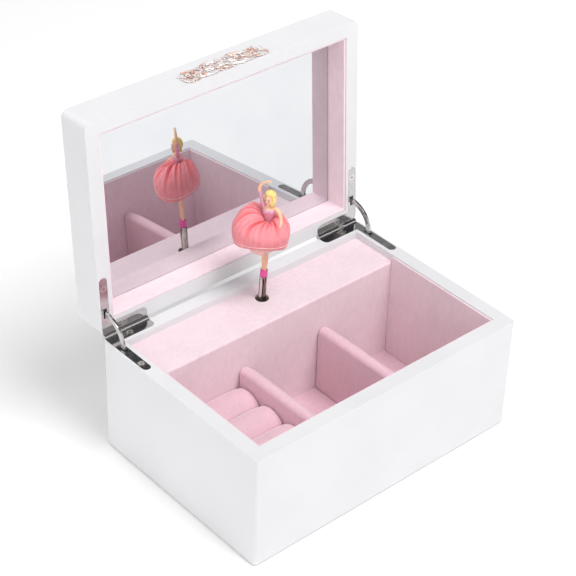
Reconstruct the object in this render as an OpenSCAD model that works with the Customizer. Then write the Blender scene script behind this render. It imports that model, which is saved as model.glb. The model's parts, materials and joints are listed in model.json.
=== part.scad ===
// Wind-up music box: a lined jewellery box with a mirror lid and a dancer turned by clockwork.
// Origin: centre of the underside. +X right, +Y towards the hinges, +Z up. Millimetres.

/* [Box] */
// Outside width, left to right
box_w = 185; // [160:1:230]
// Outside depth, front to hinges
box_d = 127; // [115:1:160]
// Height of the base, underside to rim
base_h = 71.5; // [70:0.5:90]
// Height of the lid
lid_h = 20.2; // [19.5:0.1:26]
// Thickness of the side walls of base and lid
wall_t = 8.4; // [8:0.1:10]
// Thickness of the board that closes the lid
lid_board_t = 3.5; // [2.5:0.1:4]
// Radius of the upright corners of the base
base_corner_r = 2; // [0.5:0.1:4]
// Radius of the corners of the lid
lid_corner_r = 4; // [1:0.1:6]
// Height of the gap between the two rims when shut
rim_gap = 0.4; // [0.2:0.1:0.8]

/* [Lining] */
// Thickness of the felt under the box
felt_t = 0.8; // [0.5:0.1:1.5]
// How far the felt stands in from the walls
felt_inset = 1; // [0.5:0.1:3]
// Thickness of the bottom panel
panel_t = 2; // [1.5:0.1:3]
// Thickness of the lining on the floor
floor_pad_t = 0.6; // [0.4:0.1:1.2]
// Thickness of the padded lining on the walls
pad_t = 1.2; // [0.8:0.1:2]
// Clear height between the lining and the base rim
lining_drop = 0.5; // [0.2:0.1:2]

/* [Compartments] */
// Clear depth of the chamber for the clockwork
chamber_d = 26.5; // [26:0.1:32]
// Thickness of the partition and of the shelf above the clockwork
board_t = 3; // [2:0.1:4]
// Depth of the shelf below the rim
shelf_drop = 4.3; // [3:0.1:5]
// Thickness of the two padded dividers
divider_t = 7.2; // [5:0.1:10]
// Height of the divider tops above the floor
divider_h = 43.6; // [30:0.1:50]
// Left divider, its centre from the middle of the box
divider_left_x = -27.4; // [-35:0.1:-22]
// Right divider, its centre from the middle of the box
divider_right_x = 30.5; // [22:0.1:40]
// Number of ring rolls
roll_count = 4; // [4:1:4]
// Height of the ring rolls above the floor
roll_h = 34.6; // [28:0.1:38]
// Radius of the rounded roll tops
roll_top_r = 12; // [11:0.1:16]
// Clearance around each soft block
soft_gap = 0.3; // [0.2:0.1:0.5]

/* [Hinges] */
// Opening of the lid on its stop
lid_open = 93.6; // [90:0.1:100]
// Distance of the hinge axis behind the box
hinge_back = 1.2; // [1:0.1:2]
// Length of the hinge leg along the side rim
side_leg_l = 35.2; // [32:0.1:40]
// Width of the hinge leg along the side rim
side_leg_w = 5; // [4.6:0.1:5.6]
// How far the side legs stand out from the middle of the rim
leg_out = 0.6; // [0.3:0.1:0.8]
// Length of the hinge leg along the rear rim
rear_leg_l = 30.5; // [26:0.1:40]
// Width of the hinge leg along the rear rim
rear_leg_w = 5.9; // [5:0.1:7]
// Thickness of the hinge leaves
leaf_t = 1.2; // [0.8:0.1:1.6]
// Radius of the hinge knuckles
knuckle_r = 1.5; // [1.3:0.1:1.8]
// Radius of the hinge pins
hinge_pin_r = 0.6; // [0.4:0.1:0.8]
// Radius of the curved support arms
arm_r = 14.4; // [14:0.1:15]
// Width of the support arms along their radius
arm_w = 3; // [2:0.1:3.4]
// Thickness of the support arms
arm_t = 1.2; // [0.8:0.1:1.4]
// Shank radius of the hinge screws
hinge_screw_r = 0.9; // [0.7:0.1:1.2]
// Length of the hinge screws
hinge_screw_l = 9; // [7:0.1:11]

/* [Mirror and ornament] */
// Thickness of the mirror glass
mirror_t = 2; // [1.5:0.1:3]
// Thickness of the adhesive backing of the mirror
backing_t = 0.5; // [0.3:0.1:1]
// Width of the ornament
ornament_w = 54; // [40:1:70]
// Height of the ornament
ornament_h = 15; // [10:0.5:16]
// Thickness of the ornament
ornament_t = 1; // [0.6:0.1:1.6]
// Ornament centre from the middle of the box
ornament_x = 4; // [-10:0.5:10]
// How far the ornament hangs over the rim of the lid
ornament_overhang = 1.2; // [0:0.1:3]

/* [Clockwork] */
// Position of the dancer's spindle across the box
spindle_x = 2.3; // [-5:0.1:5]
// Distance of the spindle in front of the bedplate
spindle_standoff = 9.3; // [9.1:0.1:10]
// Thickness of the bedplate
bedplate_t = 1.5; // [1:0.1:2]
// Width of the bedplate
bedplate_w = 45; // [44:0.1:48]
// Height of the bedplate
bedplate_h = 53; // [51:0.1:55]
// Radius of the pinned cylinder
drum_r = 6.5; // [6:0.1:6.6]
// Length of the pinned cylinder
drum_l = 18; // [17:0.1:18]
// Number of notes
note_count = 18; // [12:1:18]
// Distance from note to note
note_pitch = 0.85; // [0.8:0.01:0.85]
// Pins on each note's track
pins_per_note = 3; // [1:1:4]
// Teeth of the gear on the cylinder
cylinder_teeth = 32; // [32:1:32]
// Teeth of the dancer's gear
spindle_teeth = 16; // [16:1:16]
// Teeth of the governor's pinion
governor_teeth = 10; // [10:1:10]
// Teeth of the governor's worm wheel
worm_wheel_teeth = 20; // [20:1:20]
// Module of the fine gears
gear_module = 0.4; // [0.4:0.01:0.42]
// Teeth of the crown on the spring barrel
crown_teeth = 34; // [34:1:34]
// Teeth of the pinion that the barrel drives
drive_teeth = 16; // [16:1:16]
// Module of the barrel crown and its pinion
drive_module = 0.64; // [0.62:0.01:0.65]
// Radius of the spring barrel
barrel_r = 9.4; // [8.8:0.1:9.5]
// Radius of the winding arbor
winding_r = 1.8; // [1.4:0.1:2]
// Span of the key's wings
key_w = 23; // [18:0.5:26]
// Radial clearance of running shafts
run_gap = 0.05; // [0.02:0.01:0.09]

/* [Dancer] */
// Height of the dancer's tube above the shelf
tube_h = 15; // [12:0.5:18]
// Outside radius of the tube
tube_r = 2.2; // [2:0.1:2.4]
// Radius of the hole in the shelf
shelf_hole_r = 4; // [4:0.1:5]
// Lean of the dancer on the spring
dancer_lean = 2.6; // [0:0.1:4]
// Turn of the dancer about her tube from facing the left side
dancer_turn = 35; // [0:5:90]
// Radius of the skirt
skirt_r = 15.6; // [12:0.1:15.8]

/* [Hidden] */
$fn = 48;
eps = 0.01;
fit_gap = 0.02;

// Box frame
inner_w = box_w - 2 * wall_t;
inner_d = box_d - 2 * wall_t;
rear_y = inner_d / 2;
panel_top = felt_t + panel_t;
floor_z = panel_top + floor_pad_t;
lining_top = base_h - lining_drop;
shelf_z = base_h - shelf_drop;
shelf_board_z = shelf_z - pad_t;
partition_y = rear_y - chamber_d - board_t;
front_y = partition_y - pad_t;
space_d = front_y + rear_y - pad_t;
roll_pitch = space_d / roll_count;

// Hinge axis, which runs along X
hinge_y = box_d / 2 + hinge_back;
hinge_z = base_h + rim_gap / 2;
leg_x = box_w / 2 - wall_t / 2 + leg_out;
leg_front_y = box_d / 2 - side_leg_l;
leaf_edge = 0.3;
knuckle_count = 5;
barrel_l = rear_leg_l - (box_w / 2 - leg_x) + side_leg_w / 2;
barrel_x = box_w / 2 - rear_leg_l;
knuckle_l = barrel_l / knuckle_count;
knuckle_gap = 0.15;
slot_l = 6;
slot_w = arm_t + 1;
slot_y = hinge_y - arm_r;
arm_extra = 8;
mortise_w = arm_t + 1;
mortise_d = arm_r + 0.5;
mortise_back = 8.5;
side_screw_y = leg_front_y + 6.6;
rear_screw_x = box_w / 2 - rear_leg_l / 2;
rear_screw_y = box_d / 2 - leaf_edge - rear_leg_w / 2;
screw_head_r = 2 * hinge_screw_r + 0.2;

// Lid, drawn shut and then turned to its open rest
lid_rim_z = base_h + rim_gap;
lid_cavity_d = lid_h - lid_board_t;
mirror_z = lid_rim_z + lid_cavity_d - backing_t - mirror_t;

// Clockwork
bedplate_y = rear_y - bedplate_t;
spindle_y = bedplate_y - spindle_standoff;
cylinder_r = gear_module * cylinder_teeth / 2;
spindle_gear_r = gear_module * spindle_teeth / 2;
governor_r = gear_module * governor_teeth / 2;
worm_wheel_r = gear_module * worm_wheel_teeth / 2;
worm_r = 1.2;
worm_lead = PI * gear_module;
worm_turns = 5;
cylinder_x = spindle_x - cylinder_r - spindle_gear_r;
governor_x = cylinder_x - cylinder_r - governor_r;
worm_x = governor_x - worm_wheel_r - worm_r - 0.1;
drive_r = drive_module * drive_teeth / 2;
crown_r = drive_module * crown_teeth / 2;
crown_face = 2;
barrel_floor_gap = 1;
barrel_z = floor_z + crown_r + crown_face / 2 + barrel_floor_gap;
pinion_z = barrel_z + crown_r - crown_face / 2;
bracket_t = 0.8;
drum_z = pinion_z + crown_face + 1.8;
gear_z = drum_z + drum_l + 0.2;
gear_t = 1.4;
upper_bracket_z = gear_z + gear_t + 0.4;
worm_z = upper_bracket_z + 1.8;
arbor_r = 0.8;
pin_h = 0.6;
pin_r = 0.22;
crown_y = spindle_y + drive_r;
flange_y = crown_y + 1.25 * drive_module;
flange_t = 1.6;
barrel_front_y = flange_y - 10;
barrel_wall = 0.6;
barrel_cover_t = 0.8;
comb_x = cylinder_x + drum_r + pin_h + 0.15;
comb_tooth_l = 9;
comb_base_l = 6;
comb_t = 1;
comb_z = drum_z + (drum_l - note_count * note_pitch) / 2 - 1.2;
comb_h = note_count * note_pitch;
comb_screw_r = 1;
comb_y = spindle_y - comb_t / 2;
bedplate_screw_r = 1.1;
bedplate_left = 19.7;
bedplate_x = cylinder_x - bedplate_left;
bedplate_z = floor_z + 0.6;
shaft_r = 0.5;
worm_shaft_y = spindle_y - worm_lead * worm_turns / 2;
fan_y = worm_shaft_y - 4.6;
fan_r = 5;
fan_l = 2.8;
rear_ear_y = spindle_y + worm_lead * worm_turns / 2 + 1;
spindle_r = 1;
spindle_low = gear_z - 2.2;
spindle_top = shelf_board_z - board_t - 3;
key_hub_l = 9;
key_hub_r = 3;
key_t = 1.6;
key_y = box_d / 2 + 3;
wall_hole_r = 3.2;
bush_t = 0.8;
bush_r = 6;

// Dancer: her leaning axis runs through a pivot just above the shelf
pivot_z = shelf_z + tube_r + 0.4;
lean_dir = 318;
tube_low = -tube_r - 1.4;
tube_top = shelf_z + tube_h - pivot_z;
spring_low = spindle_top - 3;
spring_wire = 0.25;
spring_r = spindle_r + spring_wire + 0.25;
spring_turns = 9;

module rounded_rect(w, d, r) {
    square([w - 2 * r, d], center = true);
    square([w, d - 2 * r], center = true);
    for (sx = [-1, 1], sy = [-1, 1])
        translate([sx * (w / 2 - r), sy * (d / 2 - r)]) circle(r);
}

// A block from one corner to the other
module block(a, b) {
    translate(a) cube(b - a);
}

// A cylinder along Y, starting at the point and going back by l
module rod_y(p, r, l) {
    translate(p) rotate([-90, 0, 0]) cylinder(h = l, r = r);
}

// What is drawn shut, turned about the hinge axis to its open rest
module opened() {
    translate([0, hinge_y, hinge_z]) rotate([-lid_open, 0, 0])
        translate([0, -hinge_y, -hinge_z]) children();
}

// The same shape on the underside of the lid rim as on the base rim
module on_lid_rim() {
    opened() translate([0, 0, hinge_z]) mirror([0, 0, 1]) translate([0, 0, -hinge_z]) children();
}

module mirrored_pair() {
    children();
    mirror([1, 0, 0]) children();
}

// A tube swept round a helix, as one closed skin
module coil(r, wire, height, turns) {
    around = 14;
    sides = 6;
    rings = turns * around;
    points = [for (i = [0 : rings], k = [0 : sides - 1])
        let (a = i * 360 / around, b = k * 360 / sides, q = r + wire * cos(b))
        [q * cos(a), q * sin(a), height * i / rings + wire * sin(b)]];
    walls = [for (i = [0 : rings - 1], k = [0 : sides - 1])
        let (n = (k + 1) % sides)
        [i * sides + k, i * sides + n, (i + 1) * sides + n, (i + 1) * sides + k]];
    ends = [[for (k = [0 : sides - 1]) sides - 1 - k],
            [for (k = [0 : sides - 1]) rings * sides + k]];
    polyhedron(points, concat(walls, ends));
}

// ---------- Hinges, drawn for the right-hand base rim ----------

// An L with a round end on its side leg and a round front corner on its rear leg
module leaf_outline(grow) {
    end_r = side_leg_w / 2 + grow;
    end_y = leg_front_y + side_leg_w / 2;
    corner_r = rear_leg_w / 2 + grow;
    left = barrel_x - grow;
    right = leg_x + end_r;
    front = box_d / 2 - leaf_edge - rear_leg_w - grow;
    back = box_d / 2 - leaf_edge + grow;
    translate([leg_x, end_y]) circle(end_r);
    translate([leg_x - end_r, end_y]) square([2 * end_r, back - end_y]);
    translate([left + corner_r, front + corner_r]) circle(corner_r);
    translate([left + corner_r, front]) square([right - left - corner_r, back - front]);
    translate([left, front + corner_r]) square([right - left, back - front - corner_r]);
}

module knuckles(first) {
    for (k = [first : 2 : knuckle_count - 1])
        translate([barrel_x + k * knuckle_l + knuckle_gap / 2, 0, 0]) {
            translate([0, hinge_y, hinge_z]) rotate([0, 90, 0])
                cylinder(h = knuckle_l - knuckle_gap, r = knuckle_r);
            block([0, box_d / 2 - leaf_edge - 1, base_h - leaf_t],
                  [knuckle_l - knuckle_gap, hinge_y, base_h]);
        }
}

module countersunk_hole(x, y) {
    translate([x, y, base_h - leaf_t - eps])
        cylinder(h = leaf_t + 2 * eps, r1 = hinge_screw_r + fit_gap, r2 = screw_head_r + fit_gap);
}

module leaf(first, bore_gap) {
    difference() {
        union() {
            difference() {
                translate([0, 0, base_h - leaf_t]) linear_extrude(leaf_t) leaf_outline(0);
                translate([barrel_x - 1, hinge_y, hinge_z]) rotate([0, 90, 0])
                    cylinder(h = barrel_l + 2, r = knuckle_r + 0.2);
            }
            knuckles(first);
        }
        translate([barrel_x - 1, hinge_y, hinge_z]) rotate([0, 90, 0])
            cylinder(h = barrel_l + 2, r = hinge_pin_r + bore_gap);
        block([leg_x - slot_w / 2, slot_y - slot_l / 2, base_h - leaf_t - 1],
              [leg_x + slot_w / 2, slot_y + slot_l / 2, base_h + 1]);
        countersunk_hole(leg_x, side_screw_y);
        countersunk_hole(rear_screw_x, rear_screw_y);
    }
}

module leaf_screws() {
    for (p = [[leg_x, side_screw_y], [rear_screw_x, rear_screw_y]])
        translate([p[0], p[1], base_h]) difference() {
            union() {
                translate([0, 0, -leaf_t])
                    cylinder(h = leaf_t, r1 = hinge_screw_r, r2 = screw_head_r);
                translate([0, 0, -hinge_screw_l])
                    cylinder(h = hinge_screw_l - leaf_t + eps, r = hinge_screw_r);
            }
            for (a = [0, 90]) rotate([0, 0, a]) translate([-1, -0.2, -0.5]) cube([2, 0.4, 1]);
        }
}

// What a hinge takes out of a rim: leaf recess, barrel relief, arm mortise, screw holes
module hinge_cuts() {
    translate([0, 0, base_h - leaf_t]) linear_extrude(leaf_t + 1) leaf_outline(0.1);
    translate([barrel_x - 0.3, hinge_y, hinge_z]) rotate([0, 90, 0])
        cylinder(h = barrel_l + 0.6, r = knuckle_r + 0.4);
    block([barrel_x - 0.1, box_d / 2 - leaf_edge - 1, base_h - leaf_t],
          [barrel_x + barrel_l + 0.1, box_d / 2 + 1, base_h + 1]);
    block([leg_x - mortise_w / 2, slot_y - slot_l / 2, base_h - mortise_d],
          [leg_x + mortise_w / 2, slot_y + mortise_back, base_h]);
    for (p = [[leg_x, side_screw_y], [rear_screw_x, rear_screw_y]])
        translate([p[0], p[1], base_h - hinge_screw_l - 0.5])
            cylinder(h = hinge_screw_l, r = hinge_screw_r + fit_gap);
}

module support_arm() {
    translate([leg_x, hinge_y, hinge_z]) rotate([90, 0, -90]) rotate([0, 0, -arm_extra])
        rotate_extrude(angle = lid_open + 2 * arm_extra)
            translate([arm_r, 0]) square([arm_w, arm_t], center = true);
}

// ---------- Base ----------

module base_shell() {
    color("whitesmoke") difference() {
        translate([0, 0, felt_t]) linear_extrude(base_h - felt_t) difference() {
            rounded_rect(box_w, box_d, base_corner_r);
            square([inner_w, inner_d], center = true);
        }
        mirrored_pair() hinge_cuts();
        rod_y([cylinder_x, rear_y - 1, barrel_z], wall_hole_r, wall_t + 2);
        bedplate_screw_places() rod_y([0, rear_y - 1, 0], bedplate_screw_r + fit_gap, 6.5);
    }
}

module bottom_panel() {
    color("burlywood") translate([0, 0, felt_t]) linear_extrude(panel_t)
        square([inner_w, inner_d], center = true);
}

module base_felt() {
    color("rosybrown") linear_extrude(felt_t)
        rounded_rect(box_w - 2 * felt_inset, box_d - 2 * felt_inset, base_corner_r);
}

module partition_panel() {
    color("tan") block([-inner_w / 2, partition_y, panel_top],
                       [inner_w / 2, partition_y + board_t, shelf_board_z - board_t]);
}

module shelf_panel() {
    color("tan") difference() {
        block([-inner_w / 2, partition_y, shelf_board_z - board_t],
              [inner_w / 2, rear_y, shelf_board_z]);
        translate([spindle_x, spindle_y, shelf_board_z - board_t - 1])
            cylinder(h = board_t + 2, r = shelf_hole_r);
    }
}

module floor_lining() {
    color("pink") block([-inner_w / 2, -rear_y, panel_top],
                        [inner_w / 2, partition_y, floor_z]);
}

module front_lining() {
    color("pink") block([-inner_w / 2, -rear_y, floor_z],
                        [inner_w / 2, -rear_y + pad_t, lining_top]);
}

module side_lining() {
    block([inner_w / 2 - pad_t, -rear_y + pad_t, floor_z], [inner_w / 2, front_y, lining_top]);
}

module left_lining() {
    color("pink") mirror([1, 0, 0]) side_lining();
}

module right_lining() {
    color("pink") side_lining();
}

// One padded cloth folded over the shelf and down the partition
module shelf_lining() {
    color("pink") difference() {
        translate([inner_w / 2, 0, 0]) rotate([90, 0, -90]) linear_extrude(inner_w) {
            translate([-rear_y, shelf_board_z]) square([rear_y - front_y - pad_t, pad_t]);
            translate([-partition_y, floor_z]) square([pad_t, shelf_board_z - floor_z]);
            intersection() {
                translate([-partition_y, shelf_board_z]) circle(pad_t);
                translate([-partition_y - eps, shelf_board_z - eps]) square(pad_t + eps);
            }
        }
        translate([spindle_x, spindle_y, shelf_board_z - 1])
            cylinder(h = pad_t + 2, r = shelf_hole_r);
    }
}

// A padded wall with a round top, its outline in X and Z drawn out along Y
module soft_bar(x, w, h, y0, y1) {
    translate([x, y1, floor_z]) rotate([90, 0, 0]) linear_extrude(y1 - y0) {
        translate([-w / 2, 0]) square([w, h - w / 2]);
        translate([0, h - w / 2]) circle(w / 2);
    }
}

module left_divider() {
    color("lightpink") soft_bar(divider_left_x, divider_t, divider_h,
                                -rear_y + pad_t + soft_gap, front_y - soft_gap);
}

module right_divider() {
    color("lightpink") soft_bar(divider_right_x, divider_t, divider_h,
                                -rear_y + pad_t + soft_gap, front_y - soft_gap);
}

// Rolls are counted from the front; each lies along X
module ring_roll(number) {
    w = roll_pitch - soft_gap;
    x0 = -inner_w / 2 + pad_t + soft_gap;
    x1 = divider_left_x - divider_t / 2 - soft_gap;
    y = -rear_y + pad_t + (number - 0.5) * roll_pitch;
    color("lightpink") translate([x0, y, floor_z]) rotate([90, 0, 90]) linear_extrude(x1 - x0) {
        translate([-w / 2, 0]) square([w, roll_h - roll_top_r]);
        intersection() {
            translate([0, roll_h - roll_top_r]) circle(roll_top_r);
            translate([-w / 2, roll_h - roll_top_r - eps]) square([w, roll_top_r + 1]);
        }
    }
}

module ring_roll_1() { ring_roll(1); }
module ring_roll_2() { ring_roll(2); }
module ring_roll_3() { ring_roll(3); }
module ring_roll_4() { ring_roll(4); }

// ---------- Hinge nodes ----------

module base_hinge_right() {
    color("silver") leaf(0, fit_gap);
}

module base_hinge_left() {
    color("silver") mirror([1, 0, 0]) leaf(0, fit_gap);
}

module lid_hinge_right() {
    color("silver") on_lid_rim() leaf(1, run_gap);
}

module lid_hinge_left() {
    color("silver") on_lid_rim() mirror([1, 0, 0]) leaf(1, run_gap);
}

module hinge_pins() {
    color("gainsboro") mirrored_pair()
        translate([barrel_x, hinge_y, hinge_z]) rotate([0, 90, 0])
            cylinder(h = barrel_l, r = hinge_pin_r);
}

module base_hinge_screws() {
    color("gainsboro") mirrored_pair() leaf_screws();
}

module lid_hinge_screws() {
    color("gainsboro") on_lid_rim() mirrored_pair() leaf_screws();
}

module support_arm_right() {
    color("silver") support_arm();
}

module support_arm_left() {
    color("silver") mirror([1, 0, 0]) support_arm();
}

// ---------- Lid ----------

module lid_shell() {
    color("whitesmoke") opened() difference() {
        translate([0, 0, lid_rim_z]) linear_extrude(lid_h)
            rounded_rect(box_w, box_d, lid_corner_r);
        translate([0, 0, lid_rim_z - 1]) linear_extrude(lid_cavity_d + 1)
            square([inner_w, inner_d], center = true);
        translate([0, 0, hinge_z]) mirror([0, 0, 1]) translate([0, 0, -hinge_z])
            mirrored_pair() hinge_cuts();
    }
}

module lid_lining() {
    color("pink") opened() translate([0, 0, lid_rim_z + lining_drop])
        linear_extrude(mirror_z - lid_rim_z - lining_drop) difference() {
            square([inner_w, inner_d], center = true);
            square([inner_w - 2 * pad_t, inner_d - 2 * pad_t], center = true);
        }
}

module mirror_sheet(z, t, inset) {
    opened() translate([0, 0, z]) linear_extrude(t)
        square([inner_w - 2 * inset, inner_d - 2 * inset], center = true);
}

module mirror_glass() {
    color("aliceblue") mirror_sheet(mirror_z, mirror_t, 0.3);
}

module mirror_backing() {
    color("dimgray") mirror_sheet(mirror_z + mirror_t, backing_t, 1);
}

// A scrolled plate with a round middle, drawn on the front wall of the lid
module ornament() {
    standoff = 0.2;
    z = lid_rim_z - ornament_overhang + ornament_h / 2;
    color("lightgray") opened()
        translate([ornament_x, -box_d / 2 - standoff, z]) rotate([90, 0, 0])
            linear_extrude(ornament_t) {
                circle(ornament_h / 2);
                for (s = [-1, 1], k = [1 : 3])
                    translate([s * k * ornament_w / 8, (k % 2 - 0.5) * ornament_h / 6])
                        circle(ornament_h / 2 - k * ornament_h / 12);
                for (s = [-1, 1])
                    translate([s * (ornament_w / 2 - ornament_h / 8), 0])
                        circle(ornament_h / 8);
                square([ornament_w - ornament_h / 4, ornament_h / 5], center = true);
            }
}

// ---------- Gears ----------

// Outline of a spur gear with straight-flanked, slightly thin teeth
module gear_outline(teeth, m, phase) {
    r = m * teeth / 2;
    tip = r + 0.75 * m;
    root = r - 1.1 * m;
    half_root = 0.27 * PI * m / root * 180 / PI;
    half_tip = 0.11 * PI * m / tip * 180 / PI;
    step = 360 / teeth;
    polygon([for (i = [0 : teeth - 1], p = [[-half_root, root], [-half_tip, tip],
                                            [half_tip, tip], [half_root, root]])
        p[1] * [cos(i * step + phase + p[0]), sin(i * step + phase + p[0])]]);
}

module spur_gear(teeth, m, phase, t, bore_r) {
    difference() {
        linear_extrude(t) gear_outline(teeth, m, phase);
        translate([0, 0, -1]) cylinder(h = t + 2, r = bore_r);
    }
}

// ---------- Clockwork: bedplate, comb, cylinder ----------

module bedplate_screw_places() {
    for (p = [[3, 9], [3, 36], [bedplate_w - 3, 9], [bedplate_w - 3, 50]])
        translate([bedplate_x + p[0], 0, bedplate_z + p[1]]) children();
}

module bedplate() {
    color("lightsteelblue") difference() {
        block([bedplate_x, bedplate_y, bedplate_z],
              [bedplate_x + bedplate_w, rear_y, bedplate_z + bedplate_h]);
        rod_y([cylinder_x, bedplate_y - 1, barrel_z], winding_r + run_gap, bedplate_t + 2);
        bedplate_screw_places()
            rod_y([0, bedplate_y - 1, 0], bedplate_screw_r + fit_gap, bedplate_t + 2);
    }
}

module bedplate_screws() {
    color("gainsboro") bedplate_screw_places() {
        rod_y([0, bedplate_y - 1.2, 0], 2.1, 1.2);
        rod_y([0, bedplate_y - eps, 0], bedplate_screw_r, bedplate_t + 5);
    }
}

module comb_screw_places() {
    for (z = [3, comb_h - 3])
        translate([comb_x + comb_tooth_l + comb_base_l / 2, 0, comb_z + z]) children();
}

module comb_block() {
    color("darkgray") difference() {
        block([comb_x + comb_tooth_l + 0.5, comb_y + comb_t, comb_z],
              [comb_x + comb_tooth_l + comb_base_l, bedplate_y, comb_z + comb_h]);
        comb_screw_places() rod_y([0, comb_y, 0], comb_screw_r + fit_gap, 7);
    }
}

module comb() {
    color("silver") difference() {
        block([comb_x, comb_y, comb_z],
              [comb_x + comb_tooth_l + comb_base_l, comb_y + comb_t, comb_z + comb_h]);
        for (k = [1 : note_count - 1])
            block([comb_x - 1, comb_y - 1, comb_z + k * note_pitch - 0.1],
                  [comb_x + comb_tooth_l - 3.5 * k / note_count,
                   comb_y + comb_t + 1, comb_z + k * note_pitch + 0.1]);
        comb_screw_places() rod_y([0, comb_y - 1, 0], comb_screw_r + fit_gap, comb_t + 2);
    }
}

module comb_screws() {
    color("gainsboro") comb_screw_places() {
        rod_y([0, comb_y - 1.2, 0], 1.9, 1.2);
        rod_y([0, comb_y - eps, 0], comb_screw_r, comb_t + 5);
    }
}

// A flat arm from the bedplate out to an upright shaft, with a foot on the bedplate
module bearing_arm(x, z, w, shaft_r) {
    difference() {
        union() {
            block([x - w / 2, spindle_y - 1.8, z], [x + w / 2, bedplate_y, z + bracket_t]);
            block([x - w / 2, bedplate_y - bracket_t, z - 1.6],
                  [x + w / 2, bedplate_y, z + bracket_t]);
        }
        translate([x, spindle_y, z - 1]) cylinder(h = bracket_t + 2, r = shaft_r + run_gap);
    }
}

module cylinder_brackets() {
    color("darkgray") {
        bearing_arm(cylinder_x, drum_z - 1, 5.6, arbor_r);
        bearing_arm(cylinder_x, upper_bracket_z, 5.6, arbor_r);
    }
}

module cylinder_drum() {
    track = (drum_l - (note_count - 1) * note_pitch) / 2 - 1.2;
    color("goldenrod") translate([cylinder_x, spindle_y, drum_z]) {
        difference() {
            cylinder(h = drum_l, r = drum_r);
            translate([0, 0, -1]) cylinder(h = drum_l + 2, r = arbor_r + fit_gap);
        }
        for (i = [0 : note_count - 1], j = [0 : pins_per_note - 1])
            rotate([0, 0, 137.5 * i + (360 / pins_per_note) * j + 23 * (i * j % 4)])
                translate([drum_r - 0.3, 0, track + i * note_pitch]) rotate([0, 90, 0])
                    cylinder(h = pin_h + 0.3, r = pin_r, $fn = 6);
    }
}

module cylinder_arbor() {
    color("gainsboro") translate([cylinder_x, spindle_y, pinion_z - 0.1])
        cylinder(h = upper_bracket_z + bracket_t + 0.4 - pinion_z + 0.1, r = arbor_r);
}

module cylinder_gear() {
    color("goldenrod") translate([cylinder_x, spindle_y, gear_z])
        spur_gear(cylinder_teeth, gear_module, 0, gear_t, arbor_r + fit_gap);
}

module cylinder_pinion() {
    color("goldenrod") translate([cylinder_x, spindle_y, pinion_z])
        spur_gear(drive_teeth, drive_module, 90, crown_face, arbor_r + fit_gap);
}

// ---------- Clockwork: spring barrel and winding ----------

module crown_tooth() {
    half_root = 0.27 * PI * drive_module;
    half_tip = 0.11 * PI * drive_module;
    translate([0, flange_y, crown_r - crown_face / 2]) linear_extrude(crown_face)
        polygon([[-half_root, eps], [-half_tip, -1.85 * drive_module],
                 [half_tip, -1.85 * drive_module], [half_root, eps]]);
}

module spring_barrel() {
    color("lightsteelblue") translate([cylinder_x, 0, barrel_z]) {
        difference() {
            union() {
                rod_y([0, barrel_front_y, 0], barrel_r, flange_y - barrel_front_y);
                rod_y([0, flange_y, 0], crown_r + crown_face / 2, flange_t);
            }
            rod_y([0, barrel_front_y - 1, 0], barrel_r - barrel_wall,
                  flange_y - barrel_front_y + 1);
            rod_y([0, flange_y - 1, 0], winding_r + run_gap, flange_t + 2);
        }
        for (i = [0 : crown_teeth - 1])
            rotate([0, (i + 0.5) * 360 / crown_teeth, 0]) crown_tooth();
    }
}

module barrel_cover() {
    color("silver") translate([cylinder_x, 0, barrel_z]) difference() {
        rod_y([0, barrel_front_y, 0], barrel_r - barrel_wall - fit_gap, barrel_cover_t);
        rod_y([0, barrel_front_y - 1, 0], winding_r + run_gap, barrel_cover_t + 2);
    }
}

module mainspring() {
    turns = 6;
    steps = 24;
    strip = 0.25;
    inner = winding_r + 0.25;
    outer = barrel_r - barrel_wall - strip - 0.15;
    spiral = [for (i = [0 : turns * steps])
        [inner + (outer - inner) * i / (turns * steps), i * 360 / steps]];
    side = function (extra) [for (p = spiral) (p[0] + extra) * [cos(p[1]), sin(p[1])]];
    back = side(strip);
    last = len(back) - 1;
    color("steelblue")
        translate([cylinder_x, flange_y - 0.4, barrel_z]) rotate([90, 0, 0])
            linear_extrude(flange_y - barrel_front_y - barrel_cover_t - 0.8)
                polygon(concat(side(0), [for (i = [0 : last]) back[last - i]]));
}

module winding_arbor() {
    color("gainsboro")
        rod_y([cylinder_x, barrel_front_y - 1, barrel_z], winding_r,
              key_y + key_hub_l - 1 - barrel_front_y);
}

// Butterfly key: a hub with two round wings, each with a hole
module winding_key() {
    wing_r = key_w / 4;
    color("silver") translate([cylinder_x, key_y, barrel_z]) difference() {
        union() {
            rod_y([0, 0, 0], key_hub_r, key_hub_l);
            for (s = [-1, 1])
                translate([s * (key_w / 2 - wing_r), key_hub_l - 1, -key_t / 2])
                    cylinder(h = key_t, r = wing_r);
            block([-key_w / 2 + wing_r, key_hub_l - 4, -key_t / 2],
                  [key_w / 2 - wing_r, key_hub_l + 2, key_t / 2]);
        }
        rod_y([0, -1, 0], winding_r + fit_gap, key_hub_l);
        for (s = [-1, 1])
            translate([s * (key_w / 2 - wing_r), key_hub_l - 1, -key_t])
                cylinder(h = 2 * key_t, r = wing_r - 2.4);
    }
}

module key_bush() {
    color("silver") translate([cylinder_x, 0, barrel_z]) difference() {
        union() {
            rod_y([0, box_d / 2, 0], bush_r, bush_t);
            rod_y([0, box_d / 2 - wall_t / 2, 0], wall_hole_r - fit_gap, wall_t / 2 + eps);
        }
        rod_y([0, box_d / 2 - wall_t, 0], winding_r + run_gap, wall_t + bush_t + 1);
    }
}

// ---------- Clockwork: governor ----------

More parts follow.
